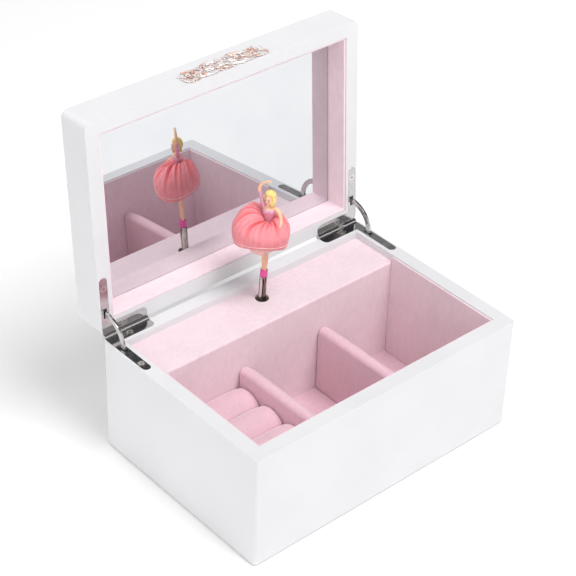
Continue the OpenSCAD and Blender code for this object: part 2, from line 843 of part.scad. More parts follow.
module governor_bracket() {
    side_x = worm_x - 3.9;
    ear_h = 2.5;
    color("darkgray") difference() {
        union() {
            block([side_x, worm_shaft_y - 1.2, worm_z - ear_h],
                  [side_x + bracket_t, bedplate_y, worm_z + ear_h]);
            block([side_x, worm_shaft_y - 1.2, worm_z - ear_h],
                  [worm_x + 0.75, worm_shaft_y - 1.2 + bracket_t, worm_z + ear_h]);
            block([side_x, rear_ear_y, worm_z - ear_h],
                  [worm_x + 2, rear_ear_y + bracket_t, worm_z + ear_h]);
            bearing_arm(governor_x, gear_z - 1.4, 2.4, shaft_r);
            bearing_arm(governor_x, worm_z + 1.2, 3, shaft_r);
            block([side_x, bedplate_y - bracket_t, gear_z - 3],
                  [governor_x + 1.5, bedplate_y, worm_z + ear_h]);
        }
        rod_y([worm_x, worm_shaft_y - 2, worm_z], shaft_r + run_gap, rear_ear_y + 4 - worm_shaft_y);
    }
}

module governor_wheel() {
    color("goldenrod") translate([governor_x, spindle_y, 0]) {
        translate([0, 0, gear_z]) linear_extrude(gear_t)
            gear_outline(governor_teeth, gear_module, 180 / governor_teeth);
        translate([0, 0, worm_z - 0.5]) linear_extrude(1)
            gear_outline(worm_wheel_teeth, gear_module, 0);
        translate([0, 0, gear_z - 1.8]) cylinder(h = worm_z + 2.4 - gear_z + 1.8, r = shaft_r);
    }
}

// Single-start right-hand thread on a plain shaft
module governor_worm() {
    thread_r = 0.3;
    color("lightgray") {
        translate([worm_x, worm_shaft_y, worm_z]) rotate([-90, 0, 0]) {
            coil(worm_r, thread_r, worm_lead * worm_turns, worm_turns);
            translate([0, 0, -thread_r - 0.1])
                cylinder(h = worm_lead * worm_turns + 2 * thread_r + 0.2, r = worm_r - 0.25);
        }
        rod_y([worm_x, fan_y - 0.2, worm_z], shaft_r, rear_ear_y + 1 - fan_y);
    }
}

module governor_fan() {
    color("silver") translate([worm_x, fan_y, worm_z]) difference() {
        union() {
            block([-fan_r, 0, -0.2], [fan_r, fan_l, 0.2]);
            rod_y([0, 0, 0], 1, fan_l);
        }
        rod_y([0, -1, 0], shaft_r + fit_gap, fan_l + 2);
    }
}

// ---------- Clockwork: spindle ----------

module spindle_bracket() {
    color("darkgray") {
        bearing_arm(spindle_x, gear_z - 1.6, 4.2, spindle_r);
        bearing_arm(spindle_x, worm_z + 0.4, 4.2, spindle_r);
    }
}

module spindle() {
    color("gainsboro") translate([spindle_x, spindle_y, spindle_low])
        cylinder(h = spindle_top - spindle_low, r = spindle_r);
}

module spindle_gear() {
    color("goldenrod") translate([spindle_x, spindle_y, gear_z])
        spur_gear(spindle_teeth, gear_module, 180 / spindle_teeth, gear_t, spindle_r + fit_gap);
}

// ---------- Dancer, drawn on her own axis with the pivot at z = 0 ----------

module leaning() {
    translate([spindle_x, spindle_y, pivot_z])
        rotate([0, 0, lean_dir]) rotate([0, dancer_lean, 0]) rotate([0, 0, -lean_dir]) children();
}

module dancer_spring() {
    length = pivot_z + tube_low - spring_low - 2 * spring_wire - 0.1;
    color("silver") translate([spindle_x, spindle_y, spring_low + spring_wire])
        coil(spring_r, spring_wire, length, spring_turns);
}

module dancer_tube() {
    color("silver") leaning() difference() {
        translate([0, 0, tube_low]) cylinder(h = tube_top - tube_low, r = tube_r);
        translate([0, 0, tube_low - 1]) cylinder(h = tube_top - tube_low + 2, r = tube_r - 0.5);
        block([-tube_r - 1, -0.25, tube_low - 1], [0, 0.25, tube_top + 1]);
        translate([0, 0, tube_top - 2]) rotate([90, 0, 0]) cylinder(h = tube_r + 1, r = 0.5);
    }
}

// A limb from one point to another, with slightly larger round joints
module limb(a, b, r) {
    v = b - a;
    l = norm(v);
    translate(a) rotate([0, acos(v[2] / l), atan2(v[1], v[0])]) cylinder(h = l, r = r);
    for (p = [a, b]) translate(p) sphere(1.15 * r);
}

// Unturned, she faces -X; her raised arm is on the +Y side
module dancer_figure() {
    t = tube_top;
    peg = tube_r - 0.5 - fit_gap;
    color("peachpuff") leaning() rotate([0, 0, dancer_turn]) {
        rotate_extrude() polygon([[0, t - 6], [peg, t - 6], [peg, t + 0.1],
            [2.1, t + 0.1], [2.2, t + 4], [1.6, t + 5],
            [1.5, t + 14], [2.1, t + 24], [2.4, t + 29], [2.9, t + 32], [2.1, t + 36],
            [2.4, t + 38.6], [3.2, t + 42], [3.1, t + 44.6], [1.1, t + 46], [1, t + 48], [0, t + 48]]);
        translate([-0.3, 0, t + 50.2]) sphere(3.3);
        translate([0.4, 0, t + 52.6]) sphere(3.1);
        limb([0, 2.6, t + 44.4], [0, 6, t + 55.8], 1.1);
        limb([0, 6, t + 55.8], [0, 0.4, t + 60.8], 0.9);
        limb([0, -2.6, t + 44.4], [-1.2, -6.6, t + 42], 1.1);
        limb([-1.2, -6.6, t + 42], [-3.2, -7.6, t + 39.8], 0.9);
    }
}

// Gathered bell, open underneath
module dancer_skirt() {
    t = tube_top;
    r = skirt_r;
    color("lightcoral") leaning() rotate_extrude()
        polygon([[3.1, t + 36], [0.35 * r, t + 37.3], [0.6 * r, t + 37.5], [0.8 * r, t + 36.2],
                 [0.94 * r, t + 33.2], [r, t + 29.5], [0.98 * r, t + 25.8],
                 [0.91 * r, t + 25.4], [0.87 * r, t + 29], [0.6 * r, t + 32.4], [3.1, t + 33.4]]);
}

base_shell();
bottom_panel();
base_felt();
partition_panel();
shelf_panel();
floor_lining();
front_lining();
left_lining();
right_lining();
shelf_lining();
left_divider();
right_divider();
ring_roll_1();
ring_roll_2();
ring_roll_3();
ring_roll_4();
base_hinge_left();
base_hinge_right();
hinge_pins();
base_hinge_screws();
support_arm_left();
support_arm_right();
lid_shell();
lid_lining();
mirror_glass();  // mirror
mirror_backing();
ornament();
lid_hinge_left();
lid_hinge_right();
lid_hinge_screws();
bedplate();
bedplate_screws();
comb_block();
comb();
comb_screws();
cylinder_brackets();
cylinder_drum();
cylinder_arbor();
cylinder_gear();
cylinder_pinion();
spring_barrel();
barrel_cover();
mainspring();
winding_arbor();
winding_key();
key_bush();
governor_bracket();
governor_wheel();
governor_worm();
governor_fan();
spindle_bracket();
spindle();
spindle_gear();
dancer_spring();
dancer_tube();
dancer_figure();
dancer_skirt();
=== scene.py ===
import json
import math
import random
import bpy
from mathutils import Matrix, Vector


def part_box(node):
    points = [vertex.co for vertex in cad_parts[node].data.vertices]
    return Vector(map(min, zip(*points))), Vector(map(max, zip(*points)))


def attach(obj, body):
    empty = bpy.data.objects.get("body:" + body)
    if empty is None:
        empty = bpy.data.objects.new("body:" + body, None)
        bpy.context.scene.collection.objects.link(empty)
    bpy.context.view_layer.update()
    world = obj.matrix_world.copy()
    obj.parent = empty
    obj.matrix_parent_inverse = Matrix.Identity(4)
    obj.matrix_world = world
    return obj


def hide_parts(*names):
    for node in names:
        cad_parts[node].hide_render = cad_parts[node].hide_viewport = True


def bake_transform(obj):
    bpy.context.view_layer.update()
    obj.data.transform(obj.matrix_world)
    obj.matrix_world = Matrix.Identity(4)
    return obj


bl_info = {
    "name": "Wind-up Music Box",
    "version": (1, 0, 0),
    "blender": (4, 5, 0),
    "location": "3D View > Sidebar > Music Box",
    "description": "Finishes a lined music box with a mirror lid and a turning dancer",
    "category": "Object",
}

import bmesh
import bpy
from bpy.props import FloatProperty, FloatVectorProperty, IntProperty, PointerProperty
from mathutils import Matrix, Vector

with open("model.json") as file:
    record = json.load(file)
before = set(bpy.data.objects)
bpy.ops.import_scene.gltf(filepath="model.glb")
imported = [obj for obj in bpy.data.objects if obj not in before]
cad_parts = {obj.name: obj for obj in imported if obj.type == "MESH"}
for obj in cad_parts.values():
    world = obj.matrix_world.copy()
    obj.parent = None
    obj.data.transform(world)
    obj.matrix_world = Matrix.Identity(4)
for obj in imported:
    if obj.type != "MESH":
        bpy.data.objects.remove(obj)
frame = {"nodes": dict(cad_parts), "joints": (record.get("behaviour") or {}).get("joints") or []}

MM = 0.001
NODES = frame["nodes"]
JOINTS = {joint["name"]: joint for joint in frame["joints"]}
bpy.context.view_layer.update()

# The lid is made shut, then turned to its open rest
HINGE = Vector(JOINTS["lid_hinge"]["pos_m"])
OPENED = (
    Matrix.Translation(HINGE)
    @ Matrix.Rotation(-math.radians(JOINTS["lid_hinge"]["range_deg"][1]), 4, "X")
    @ Matrix.Translation(-HINGE)
)

# The dancer is made upright about her pivot, then leant on her spring
PIVOT = Vector(JOINTS["dancer_spin"]["pos_m"])
LEANING = Vector((0, 0, 1)).rotation_difference(Vector(JOINTS["dancer_spin"]["axis"]))
LEANT = Matrix.Translation(PIVOT) @ LEANING.to_matrix().to_4x4()

# Her figure rests turned a little to the right
FACING = LEANT @ Matrix.Rotation(math.radians(35), 4, "Z")
# Top of the dancer's tube above the pivot, in millimetres
TUBE_TOP = 12.4


# ---------- Colours and shaders ----------


def linear(code):
    """A colour in light's own scale from its six-digit screen code."""
    parts = [int(code[i : i + 2], 16) / 255 for i in (0, 2, 4)]
    return tuple(c / 12.92 if c <= 0.04045 else ((c + 0.055) / 1.055) ** 2.4 for c in parts)


def shade(colour, amount):
    """The same colour, darker below 1 and lighter above it."""
    return tuple(min(1.0, c * amount) for c in colour[:3])


class Link:
    """A value in a shader that can be used in sums."""

    def __init__(self, finish, socket):
        self.finish, self.socket = finish, socket

    def work(self, operation, first, second=None):
        values = {0: first} if second is None else {0: first, 1: second}
        return self.finish.add("ShaderNodeMath", {"operation": operation}, values)

    def __add__(self, other):
        return self.work("ADD", self, other)

    def __sub__(self, other):
        return self.work("SUBTRACT", self, other)

    def __rsub__(self, other):
        return self.work("SUBTRACT", other, self)

    def __mul__(self, other):
        return self.work("MULTIPLY", self, other)

    __radd__ = __add__
    __rmul__ = __mul__

    def wave(self):
        return self.work("SINE", self)


class Shading:
    """A node tree that is built from values and settings."""

    def __init__(self, tree):
        self.tree = tree

    def feed(self, node, sockets):
        """Gives sockets their values, or links them."""
        for key, value in sockets.items():
            socket = node.inputs[key]
            if isinstance(value, Link):
                self.tree.links.new(value.socket, socket)
            elif isinstance(value, tuple) and socket.type == "RGBA":
                socket.default_value = (*value[:3], 1.0)
            else:
                socket.default_value = value

    def add(self, kind, settings=None, sockets=None, out=0):
        """Adds a node: its settings first, then what its sockets hold."""
        node = self.tree.nodes.new(kind)
        for key, value in (settings or {}).items():
            setattr(node, key, value)
        self.feed(node, sockets or {})
        return Link(self, node.outputs[out])

    def mix(self, factor, first, second):
        """A colour between two others."""
        return self.add(
            "ShaderNodeMix", {"data_type": "RGBA"}, {0: factor, 6: first, 7: second}, out=2
        )

    def span(self, value, low, high, start=0.0, end=1.0):
        """Maps value from low..high to start..end, held at both ends."""
        return self.add(
            "ShaderNodeMapRange", {}, {"Value": value, 1: low, 2: high, 3: start, 4: end}
        )


class Finish(Shading):
    """One material and the shader behind it."""

    def __init__(self, name, constants):
        self.material = bpy.data.materials.new(name)
        self.material.use_nodes = True
        super().__init__(self.material.node_tree)
        self.tree.nodes.clear()
        self.shader = self.tree.nodes.new("ShaderNodeBsdfPrincipled")
        output = self.tree.nodes.new("ShaderNodeOutputMaterial")
        self.tree.links.new(self.shader.outputs[0], output.inputs[0])
        self.place = Link(self, self.tree.nodes.new("ShaderNodeTexCoord").outputs["Object"])
        self.feed(self.shader, constants)

    def grain(self, size_mm, detail=2.0, stretch=(1, 1, 1), roughness=0.5):
        """Soft random mottling whose patches are about this size."""
        spot = self.place
        if stretch != (1, 1, 1):
            scale = Vector(1 / s for s in stretch)
            spot = self.add("ShaderNodeVectorMath", {"operation": "MULTIPLY"}, {0: spot, 1: scale})
        return self.add(
            "ShaderNodeTexNoise",
            {},
            {"Vector": spot, "Scale": 1 / (size_mm * MM), "Detail": detail, "Roughness": roughness},
        )

    def cells(self, size_mm):
        """Distance to the nearest of many scattered points."""
        return self.add(
            "ShaderNodeTexVoronoi", {}, {"Vector": self.place, "Scale": 1 / (size_mm * MM)}
        )

    def axis(self, name):
        """One coordinate of the surface, in millimetres."""
        parts = self.add("ShaderNodeSeparateXYZ", {}, {0: self.place}, out="XYZ".index(name))
        return parts * (1 / MM)

    def bump(self, height, depth_mm, strength=1.0):
        """Raises the surface by height times this depth."""
        normal = self.add("ShaderNodeBump", {}, {
            "Height": height, "Distance": depth_mm * MM, "Strength": strength,
        })
        self.feed(self.shader, {"Normal": normal})

    def done(self, sockets):
        """Feeds the shader its last sockets and gives the material."""
        self.feed(self.shader, sockets)
        return self.material


def painted_wood(colours):
    """Satin lacquer over sanded board, with the faint stipple of a roller."""
    f = Finish("satin_white_lacquer", {"Specular IOR Level": 0.45, "Coat Roughness": 0.25})
    stipple, cloud = f.grain(0.9, 3), f.grain(34, 2)
    f.bump(stipple, 0.035, 0.5)
    tone = f.mix(f.span(cloud, 0.35, 0.65), shade(colours.paint, 0.965), tuple(colours.paint))
    return f.done({"Base Color": tone, "Roughness": f.span(stipple + cloud, 0.8, 1.2, 0.34, 0.46),
                   "Coat Weight": f.span(cloud, 0.3, 0.7, 0.12, 0.24)})


def velvet(name, colour, nap=1.0):
    """Short-pile velvet: a fine nap that lies in brushed patches."""
    f = Finish(name, {"Specular IOR Level": 0.12, "Sheen Weight": 0.9, "Sheen Roughness": 0.5,
                      "Sheen Tint": (1.0, 0.95, 0.97)})
    pile, brushed, patches = f.grain(0.28, 2), f.grain(2.4, 3, (1.0, 1.0, 2.2)), f.grain(17, 2)
    f.bump(pile * 0.7 + brushed * 0.6, 0.11 * nap, 0.7)
    depth = f.span(pile * 0.4 + brushed * 0.35 + patches * 0.25, 0.3, 0.7)
    return f.done({"Base Color": f.mix(depth, shade(colour, 0.86), shade(colour, 1.07)),
                   "Roughness": f.span(brushed, 0.3, 0.7, 0.82, 0.98)})


def board(name, colour):
    """Pressed fibre board with flecks."""
    f = Finish(name, {"Specular IOR Level": 0.2})
    fibre, fleck = f.grain(0.7, 4, (4, 1, 1), 0.65), f.cells(1.3)
    f.bump(fibre, 0.06, 0.6)
    tone = f.mix(f.span(fibre, 0.3, 0.7), shade(colour, 0.78), shade(colour, 1.12))
    tone = f.mix(0.5 * (1 - f.span(fleck, 0.05, 0.2)), tone, shade(colour, 0.5))
    return f.done({"Base Color": tone, "Roughness": f.span(fibre, 0.3, 0.7, 0.75, 0.95)})


def felt(colour):
    """Matted wool with short crossing fibres."""
    f = Finish("pressed_felt", {"Specular IOR Level": 0.1, "Sheen Weight": 0.3,
                                "Sheen Roughness": 0.5})
    fuzz, mat = f.grain(0.35, 5, (1, 1, 1), 0.7), f.grain(5, 3)
    f.bump(fuzz, 0.16, 0.9)
    tone = f.mix(f.span(fuzz * 0.6 + mat * 0.4, 0.3, 0.7), shade(colour, 0.75), shade(colour, 1.15))
    return f.done({"Base Color": tone, "Roughness": f.span(fuzz, 0.3, 0.7, 0.85, 1.0)})


def metal(name, colour, rough=0.15, brushed=(1, 1, 1), depth=0.008, tarnish=0.1):
    """Plated or bare metal with fine drawn scratches and a slight bloom."""
    f = Finish(name, {"Metallic": 1.0})
    scratch, bloom = f.grain(0.12, 2, brushed), f.grain(2.2, 3)
    f.bump(scratch, depth, 0.5)
    tone = f.mix(f.span(bloom, 0.42, 0.72), tuple(colour), shade(colour, 1 - tarnish))
    worn = f.span(scratch * 0.5 + bloom * 0.5, 0.35, 0.65, rough * 0.7, rough * 1.35)
    return f.done({"Base Color": tone, "Roughness": worn})


def silvered_glass():
    """Mirror glass with a slight haze and a little dust."""
    f = Finish("silvered_mirror", {"Metallic": 1.0})
    haze, dust = f.grain(40, 2), f.grain(0.8, 2)
    f.bump(f.grain(60, 1), 0.02, 0.05)
    tone = f.mix(f.span(haze, 0.4, 0.6), linear("DEDFE1"), linear("DBDCDF"))
    return f.done({"Base Color": tone, "Roughness": f.span(dust, 0.55, 0.85, 0.008, 0.03)})


def moulded(name, colour, gloss=0.32, pearl=0.0, depth=0.02):
    """Painted plastic from a small mould."""
    f = Finish(name, {"Specular IOR Level": 0.45})
    skin, wash = f.grain(0.5, 3), f.grain(2.5, 2)
    f.bump(skin, depth, 0.5)
    tone = f.mix(f.span(wash, 0.3, 0.7), shade(colour, 0.9), shade(colour, 1.06))
    return f.done({"Base Color": tone,
                   "Roughness": f.span(skin, 0.3, 0.7, gloss * 0.85, gloss * 1.2),
                   "Metallic": f.span(wash, 0.3, 0.7, pearl * 0.8, pearl)})


def organza(name, colour, threads=0.16):
    """Crisp thin cloth with a fine plain weave, darker in its folds and at its waist: painted shade.
    """
    f = Finish(name, {"Specular IOR Level": 0.35, "Sheen Weight": 0.35, "Sheen Roughness": 0.3,
                      "Sheen Tint": (1.0, 0.86, 0.88)})
    turn = 2 * math.pi / threads
    weave = (f.axis("X") * turn).wave() + (f.axis("Y") * turn).wave() + (f.axis("Z") * turn).wave()
    fall = f.grain(1.6, 3, (1, 1, 3))
    f.bump(weave * 0.12 + fall * 0.5, 0.06, 0.6)
    tone = f.mix(f.span(fall, 0.3, 0.7), shade(colour, 0.86), shade(colour, 1.08))
    # Painted shade: the fold attribute darkens the cloth in the valleys of its gathers and under the
    # bodice at the waist
    painted_crease_shade = f.span(f.add("ShaderNodeAttribute", {"attribute_name": "fold"}, out="Fac"), 0.0, 0.9)
    tone = f.mix(painted_crease_shade * 0.8, tone, tuple(c * k for c, k in zip(colour, (0.86, 0.5, 0.52))))
    return f.done({"Base Color": tone, "Roughness": f.span(fall, 0.3, 0.7, 0.42, 0.62)})


def drawn_tube():
    """Nickel tube rolled from strip, with dark streaks painted along it that stand in for reflected
    dark bands as well as draw lines.
    """
    f = Finish("rolled_tube_nickel", {"Metallic": 1.0})
    line, bloom = f.grain(0.8, 1, (1, 1, 40)), f.grain(2.2, 3)
    f.bump(line, 0.01, 0.5)
    # The dark streaks are partly painted reflection and partly draw lines
    tone = f.mix(f.span(line, 0.4, 0.56), linear("75685F"), linear("DDD5CD"))
    return f.done({"Base Color": tone, "Roughness": f.span(bloom, 0.35, 0.65, 0.14, 0.26)})


def plated_ornament():
    """Soft bright silver with touches of rose gold."""
    f = Finish("rose_silver_plate", {"Metallic": 0.6})
    wear, pits, patches = f.grain(1.1, 3), f.grain(0.2, 2), f.grain(3.2, 2)
    f.bump(pits, 0.02, 0.5)
    rosy = f.span(patches + wear * 0.4, 0.66, 0.8)
    tone = f.mix(rosy, linear("EEE9E8"), linear("DDB8AA"))
    return f.done({"Base Color": tone, "Roughness": f.span(wear, 0.3, 0.7, 0.34, 0.52)})


# ---------- Making pieces ----------


def put(name, bm, material, body, cad=(), sharp=35, place=None, even=False):
    """Turns worked mesh into a finished object that rides on a body.

    An even piece keeps its broad flat faces free of the shading of its rounded edges.
    """
    if place is not None:
        bm.transform(place)
    mesh = bpy.data.meshes.new(name)
    bm.to_mesh(mesh)
    bm.free()
    mesh.shade_smooth()
    mesh.set_sharp_from_angle(angle=math.radians(sharp))
    mesh.materials.append(material)
    piece = bpy.data.objects.new(name, mesh)
    bpy.context.scene.collection.objects.link(piece)
    if even:
        piece.modifiers.new("even_shading", "WEIGHTED_NORMAL").keep_sharp = True
    if body:
        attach(piece, body)
    if cad:
        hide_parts(*cad)
    return piece


def coat(node, material):
    """Gives a part that keeps its shape a better finish."""
    slots = NODES[node].material_slots
    if not slots:
        NODES[node].data.materials.append(material)
    for slot in slots:
        slot.material = material


def copied(node):
    """A part's shape with its flat faces whole again."""
    bm = bmesh.new()
    bm.from_mesh(NODES[node].data)
    bmesh.ops.remove_doubles(bm, verts=bm.verts, dist=2e-6)
    bmesh.ops.dissolve_limit(
        bm, angle_limit=math.radians(1), verts=bm.verts, edges=bm.edges,
        use_dissolve_boundaries=False,
    )
    return bm


def ease(bm, width_mm, segments=2, chosen=None, corner=30):
    """Rounds the sharp edges, or those of them that chosen accepts."""
    edges = [
        e
        for e in bm.edges
        if len(e.link_faces) == 2
        and abs(e.calc_face_angle(0)) > math.radians(corner)
        and (chosen is None or chosen(e))
    ]
    bmesh.ops.bevel(
        bm, geom=edges, offset=width_mm * MM, segments=segments, profile=0.5,
        affect="EDGES", clamp_overlap=True, material=-1,
    )
    return bm


def turned(profile, steps=40):
    """A round body from (radius, height) pairs in millimetres, turned about Z."""
    bm = bmesh.new()
    verts = [bm.verts.new((r * MM, 0, z * MM)) for r, z in profile]
    edges = [bm.edges.new(pair) for pair in zip(verts, verts[1:])]
    bmesh.ops.spin(
        bm, geom=verts + edges, cent=(0, 0, 0), axis=(0, 0, 1), angle=2 * math.pi,
        steps=steps, use_merge=True,
    )
    bmesh.ops.remove_doubles(bm, verts=bm.verts, dist=1e-6)
    bmesh.ops.recalc_face_normals(bm, faces=bm.faces)
    return bm


def blob(centre, size, turn=None, rings=16):
    """A stretched ball, in millimetres."""
    bm = bmesh.new()
    bmesh.ops.create_uvsphere(bm, u_segments=rings * 3 // 2, v_segments=rings, radius=MM)
    bmesh.ops.scale(bm, vec=size, verts=bm.verts)
    if turn is not None:
        bmesh.ops.rotate(bm, cent=(0, 0, 0), matrix=turn, verts=bm.verts)
    bmesh.ops.translate(bm, vec=Vector(centre) * MM, verts=bm.verts)
    return bm


def strands(paths, resolution=8, sides=4, closed=False):
    """Smooth tapering strands: each is a list of (x, y, z, radius) in millimetres."""
    curve = bpy.data.curves.new("strand", "CURVE")
    curve.dimensions = "3D"
    curve.bevel_depth, curve.bevel_resolution = MM, sides
    curve.use_fill_caps, curve.resolution_u = True, resolution
    for path in paths:
        spline = curve.splines.new("BEZIER")
        spline.bezier_points.add(len(path) - 1)
        spline.use_cyclic_u = closed
        for point, (x, y, z, radius) in zip(spline.bezier_points, path):
            point.co, point.radius = Vector((x, y, z)) * MM, radius
            point.handle_left_type = point.handle_right_type = "AUTO"
    holder = bpy.data.objects.new("strand", curve)
    bpy.context.scene.collection.objects.link(holder)
    mesh = bpy.data.meshes.new_from_object(
        holder.evaluated_get(bpy.context.evaluated_depsgraph_get())
    )
    bm = bmesh.new()
    bm.from_mesh(mesh)
    bpy.data.objects.remove(holder)
    bpy.data.curves.remove(curve)
    bpy.data.meshes.remove(mesh)
    bmesh.ops.remove_doubles(bm, verts=bm.verts, dist=1e-6)
    bmesh.ops.recalc_face_normals(bm, faces=bm.faces)
    return bm


def joined(*parts):
    """Several worked meshes as one."""
    bm = parts[0]
    for part in parts[1:]:
        mesh = bpy.data.meshes.new("part")
        part.to_mesh(mesh)
        part.free()
        bm.from_mesh(mesh)
        bpy.data.meshes.remove(mesh)
    return bm


def flipped(bm):
    """A copy on the other side of the middle."""
    other = bm.copy()
    bmesh.ops.scale(other, vec=(-1, 1, 1), verts=other.verts)
    bmesh.ops.reverse_faces(other, faces=other.faces)
    return other


def crown(bm, along, pinch, power=6):
    """Draws a stuffed bar in towards both its ends, as tight cloth does."""
    values = [v.co[along] for v in bm.verts]
    low, high = min(values), max(values)
    middle = (low + high) / 2
    across = [i for i in range(3) if i != along]
    centre = [sum(v.co[i] for v in bm.verts) / len(bm.verts) for i in range(3)]
    floor = min(v.co.z for v in bm.verts)
    for v in bm.verts:
        share = abs(2 * (v.co[along] - middle) / (high - low)) ** power
        for i in across:
            anchor = floor if i == 2 else centre[i]
            v.co[i] = anchor + (v.co[i] - anchor) * (1 - pinch * share)


# ---------- Sizes and colours that a user would change ----------


def millimetres(name, description, size, least, most):
    """A length, given here in millimetres and held in metres."""
    return FloatProperty(
        name=name, description=description, default=size * MM, min=least * MM, max=most * MM,
        unit="LENGTH", precision=5,
    )


def tint(name, description, code):
    """A colour, given here by its six-digit screen code."""
    return FloatVectorProperty(
        name=name, description=description, default=linear(code), subtype="COLOR"
    )


class BoxSizes(bpy.types.PropertyGroup):
    """Rounded edges, petals and gathers"""

    painted_edge: millimetres("Painted edge", "Rounding of the painted edges", 0.35, 0.05, 1.5)
    lining_edge: millimetres("Lining edge", "Rounding of the lining's edges", 0.5, 0.1, 0.6)
    fold_edge: millimetres("Shelf fold", "Rounding of the cloth at the shelf's front", 1.1, 0.2, 1.2)
    pad_edge: millimetres("Pad edge", "Rounding of the ends of rolls and dividers", 1.3, 0.2, 3)
    metal_edge: millimetres("Metal edge", "Rounding of the hinge plates", 0.12, 0.02, 0.3)
    petals: IntProperty(
        name="Petals", description="Petals of each flower on the ornament", default=6, min=4, max=9
    )
    fold_depth: millimetres("Gather depth", "Depth of the skirt's gathers", 1.1, 0.1, 1.6)


class BoxColours(bpy.types.PropertyGroup):
    """Colours of the paint, the cloths and the dancer"""

    paint: tint("Paint", "Lacquer on the box", "E0E0E2")
    lining: tint("Lining", "Velvet on the walls", "EFD8DF")
    # The pads' colour is the wall velvet darkened: painted shade for the rolls, dividers and floor
    # deep in the compartments
    pads: tint("Pads", "Velvet of the rolls, dividers and floor", "E8C3CE")
    skirt: tint("Skirt", "Organza of the skirt", "FB989F")
    skin: tint("Skin", "The dancer's skin", "F9C6A4")
    hair: tint("Hair", "The dancer's hair", "FBDF8C")
    bodice: tint("Bodice", "The dancer's bodice", "E6AEC6")
    shoes: tint("Shoes", "The dancer's shoes", "EE5FAA")


class StageSettings(bpy.types.PropertyGroup):
    """Strength of the lights"""

    key_light: FloatProperty(
        name="Main light", description="Power of the main soft light, in watts", default=17.5,
        min=0, unit="POWER",
    )
    fill_light: FloatProperty(
        name="Fill light", description="Power of the fill light, in watts", default=0.6,
        min=0, unit="POWER",
    )
    surroundings: FloatProperty(
        name="Surroundings", description="Brightness of the room", default=0.96, min=0
    )


# ---------- Operators ----------


class MUSICBOX_OT_stage(bpy.types.Operator):
    """Sets the pale floor, the soft lights and the camera"""

    bl_idname = "musicbox.stage"
    bl_label = "Stage"

    def execute(self, context):
        lights = context.scene.box_stage
        bpy.context.scene.view_settings.view_transform = "Standard"
        self.ground()
        self.sky(lights.surroundings)
        self.lamp("main_light", (0.2, -0.62, 1.6), 0.8, lights.key_light)
        self.lamp("fill_light", (-1.3, -0.5, 0.9), 1.1, lights.fill_light)
        self.camera()
        return {"FINISHED"}

    def ground(self):
        """A pale floor with hardly any mottling."""
        bm = bmesh.new()
        bmesh.ops.create_grid(bm, x_segments=1, y_segments=1, size=4)
        mesh = bpy.data.meshes.new("studio_floor")
        bm.to_mesh(mesh)
        bm.free()
        floor = bpy.data.objects.new("studio_floor", mesh)
        bpy.context.scene.collection.objects.link(floor)
        f = Finish("pale_floor", {"Specular IOR Level": 0.0, "Roughness": 1.0})
        mesh.materials.append(
            f.done({"Base Color": f.mix(f.grain(400), linear("FAFAFA"), linear("FCFCFC"))})
        )

    def sky(self, strength):
        """A white room with one dim wall."""
        world = bpy.data.worlds.new("studio")
        world.use_nodes = True
        sky = Shading(world.node_tree)
        background = world.node_tree.nodes["Background"]
        # The dim wall, high on the right, gives the bright metal something dark to show
        wall_side, bright, dim = Vector((0.71, -0.04, 0.70)), (1.0, 1.0, 1.0), (0.07, 0.07, 0.08)
        toward = sky.add("ShaderNodeTexCoord", out="Generated")
        facing = sky.add("ShaderNodeVectorMath", {"operation": "DOT_PRODUCT"},
                         {0: toward, 1: wall_side}, out="Value")
        wall = sky.span(facing, 0.62, 0.84)
        sky.feed(background, {"Color": sky.mix(wall, bright, dim), "Strength": strength})
        bpy.context.scene.world = world

    def lamp(self, name, spot, size, power):
        """A square soft light that looks at the box."""
        light = bpy.data.lights.new(name, "AREA")
        light.shape, light.size, light.energy = "SQUARE", size, power
        lamp = bpy.data.objects.new(name, light)
        lamp.location = spot
        lamp.rotation_mode = "QUATERNION"
        middle = Vector((0, 0, 0.06))
        lamp.rotation_quaternion = (middle - Vector(spot)).to_track_quat("-Z", "Y")
        bpy.context.scene.collection.objects.link(lamp)

    def camera(self):
        """The camera, in front of the box on its left and above it."""
        azimuth, elevation, roll = (math.radians(a) for a in (-42.2042, 35.5516, 2.0304))
        distance, sideways, upwards = 0.9675, -0.01787, 0.03965
        back = Vector((
            math.sin(azimuth) * math.cos(elevation),
            -math.cos(azimuth) * math.cos(elevation),
            math.sin(elevation),
        ))
        level = (-back).cross(Vector((0, 0, 1))).normalized()
        upward = level.cross(-back)
        right = math.cos(roll) * level + math.sin(roll) * upward
        up = math.cos(roll) * upward - math.sin(roll) * level
        camera = bpy.data.objects.new("camera", bpy.data.cameras.new("camera"))
        camera.data.sensor_width = 36
        camera.data.lens = 111.475
        camera.data.clip_start, camera.data.clip_end = 0.05, 20
        aim = Vector((0, -0.0082, 0.0555))
        spot = aim + back * distance + right * sideways + up * upwards
        turn = Matrix((right, up, back)).transposed().to_4x4()
        camera.matrix_world = Matrix.Translation(spot) @ turn
        bpy.context.scene.collection.objects.link(camera)
        bpy.context.scene.camera = camera


class MUSICBOX_OT_case(bpy.types.Operator):
    """Finishes the painted walls, the panels and the felt of the base"""

    bl_idname = "musicbox.case"
    bl_label = "Case"

    def execute(self, context):
        sizes = context.scene.box_sizes
        colours = context.scene.box_colours
        paint = painted_wood(colours)
        long = 1.2 * MM
        for node, name, body in (
            ("base_shell", "painted_walls", "base"), ("lid_shell", "painted_lid", "lid"),
        ):
            bm = ease(copied(node), sizes.painted_edge / MM, 3, lambda e: e.calc_length() > long)
            put(name, bm, paint, body, [node], even=True)
        coat("bottom_panel", board("hardboard", linear("A67C55")))
        grey = board("grey_board", linear("B9B2A8"))
        coat("partition_panel", grey)
        coat("shelf_panel", grey)
        bm = ease(copied("base_felt"), 0.25, 2)
        put("felt_pad", bm, felt(linear("D9AEBB")), "base", ["base_felt"], even=True)
        return {"FINISHED"}


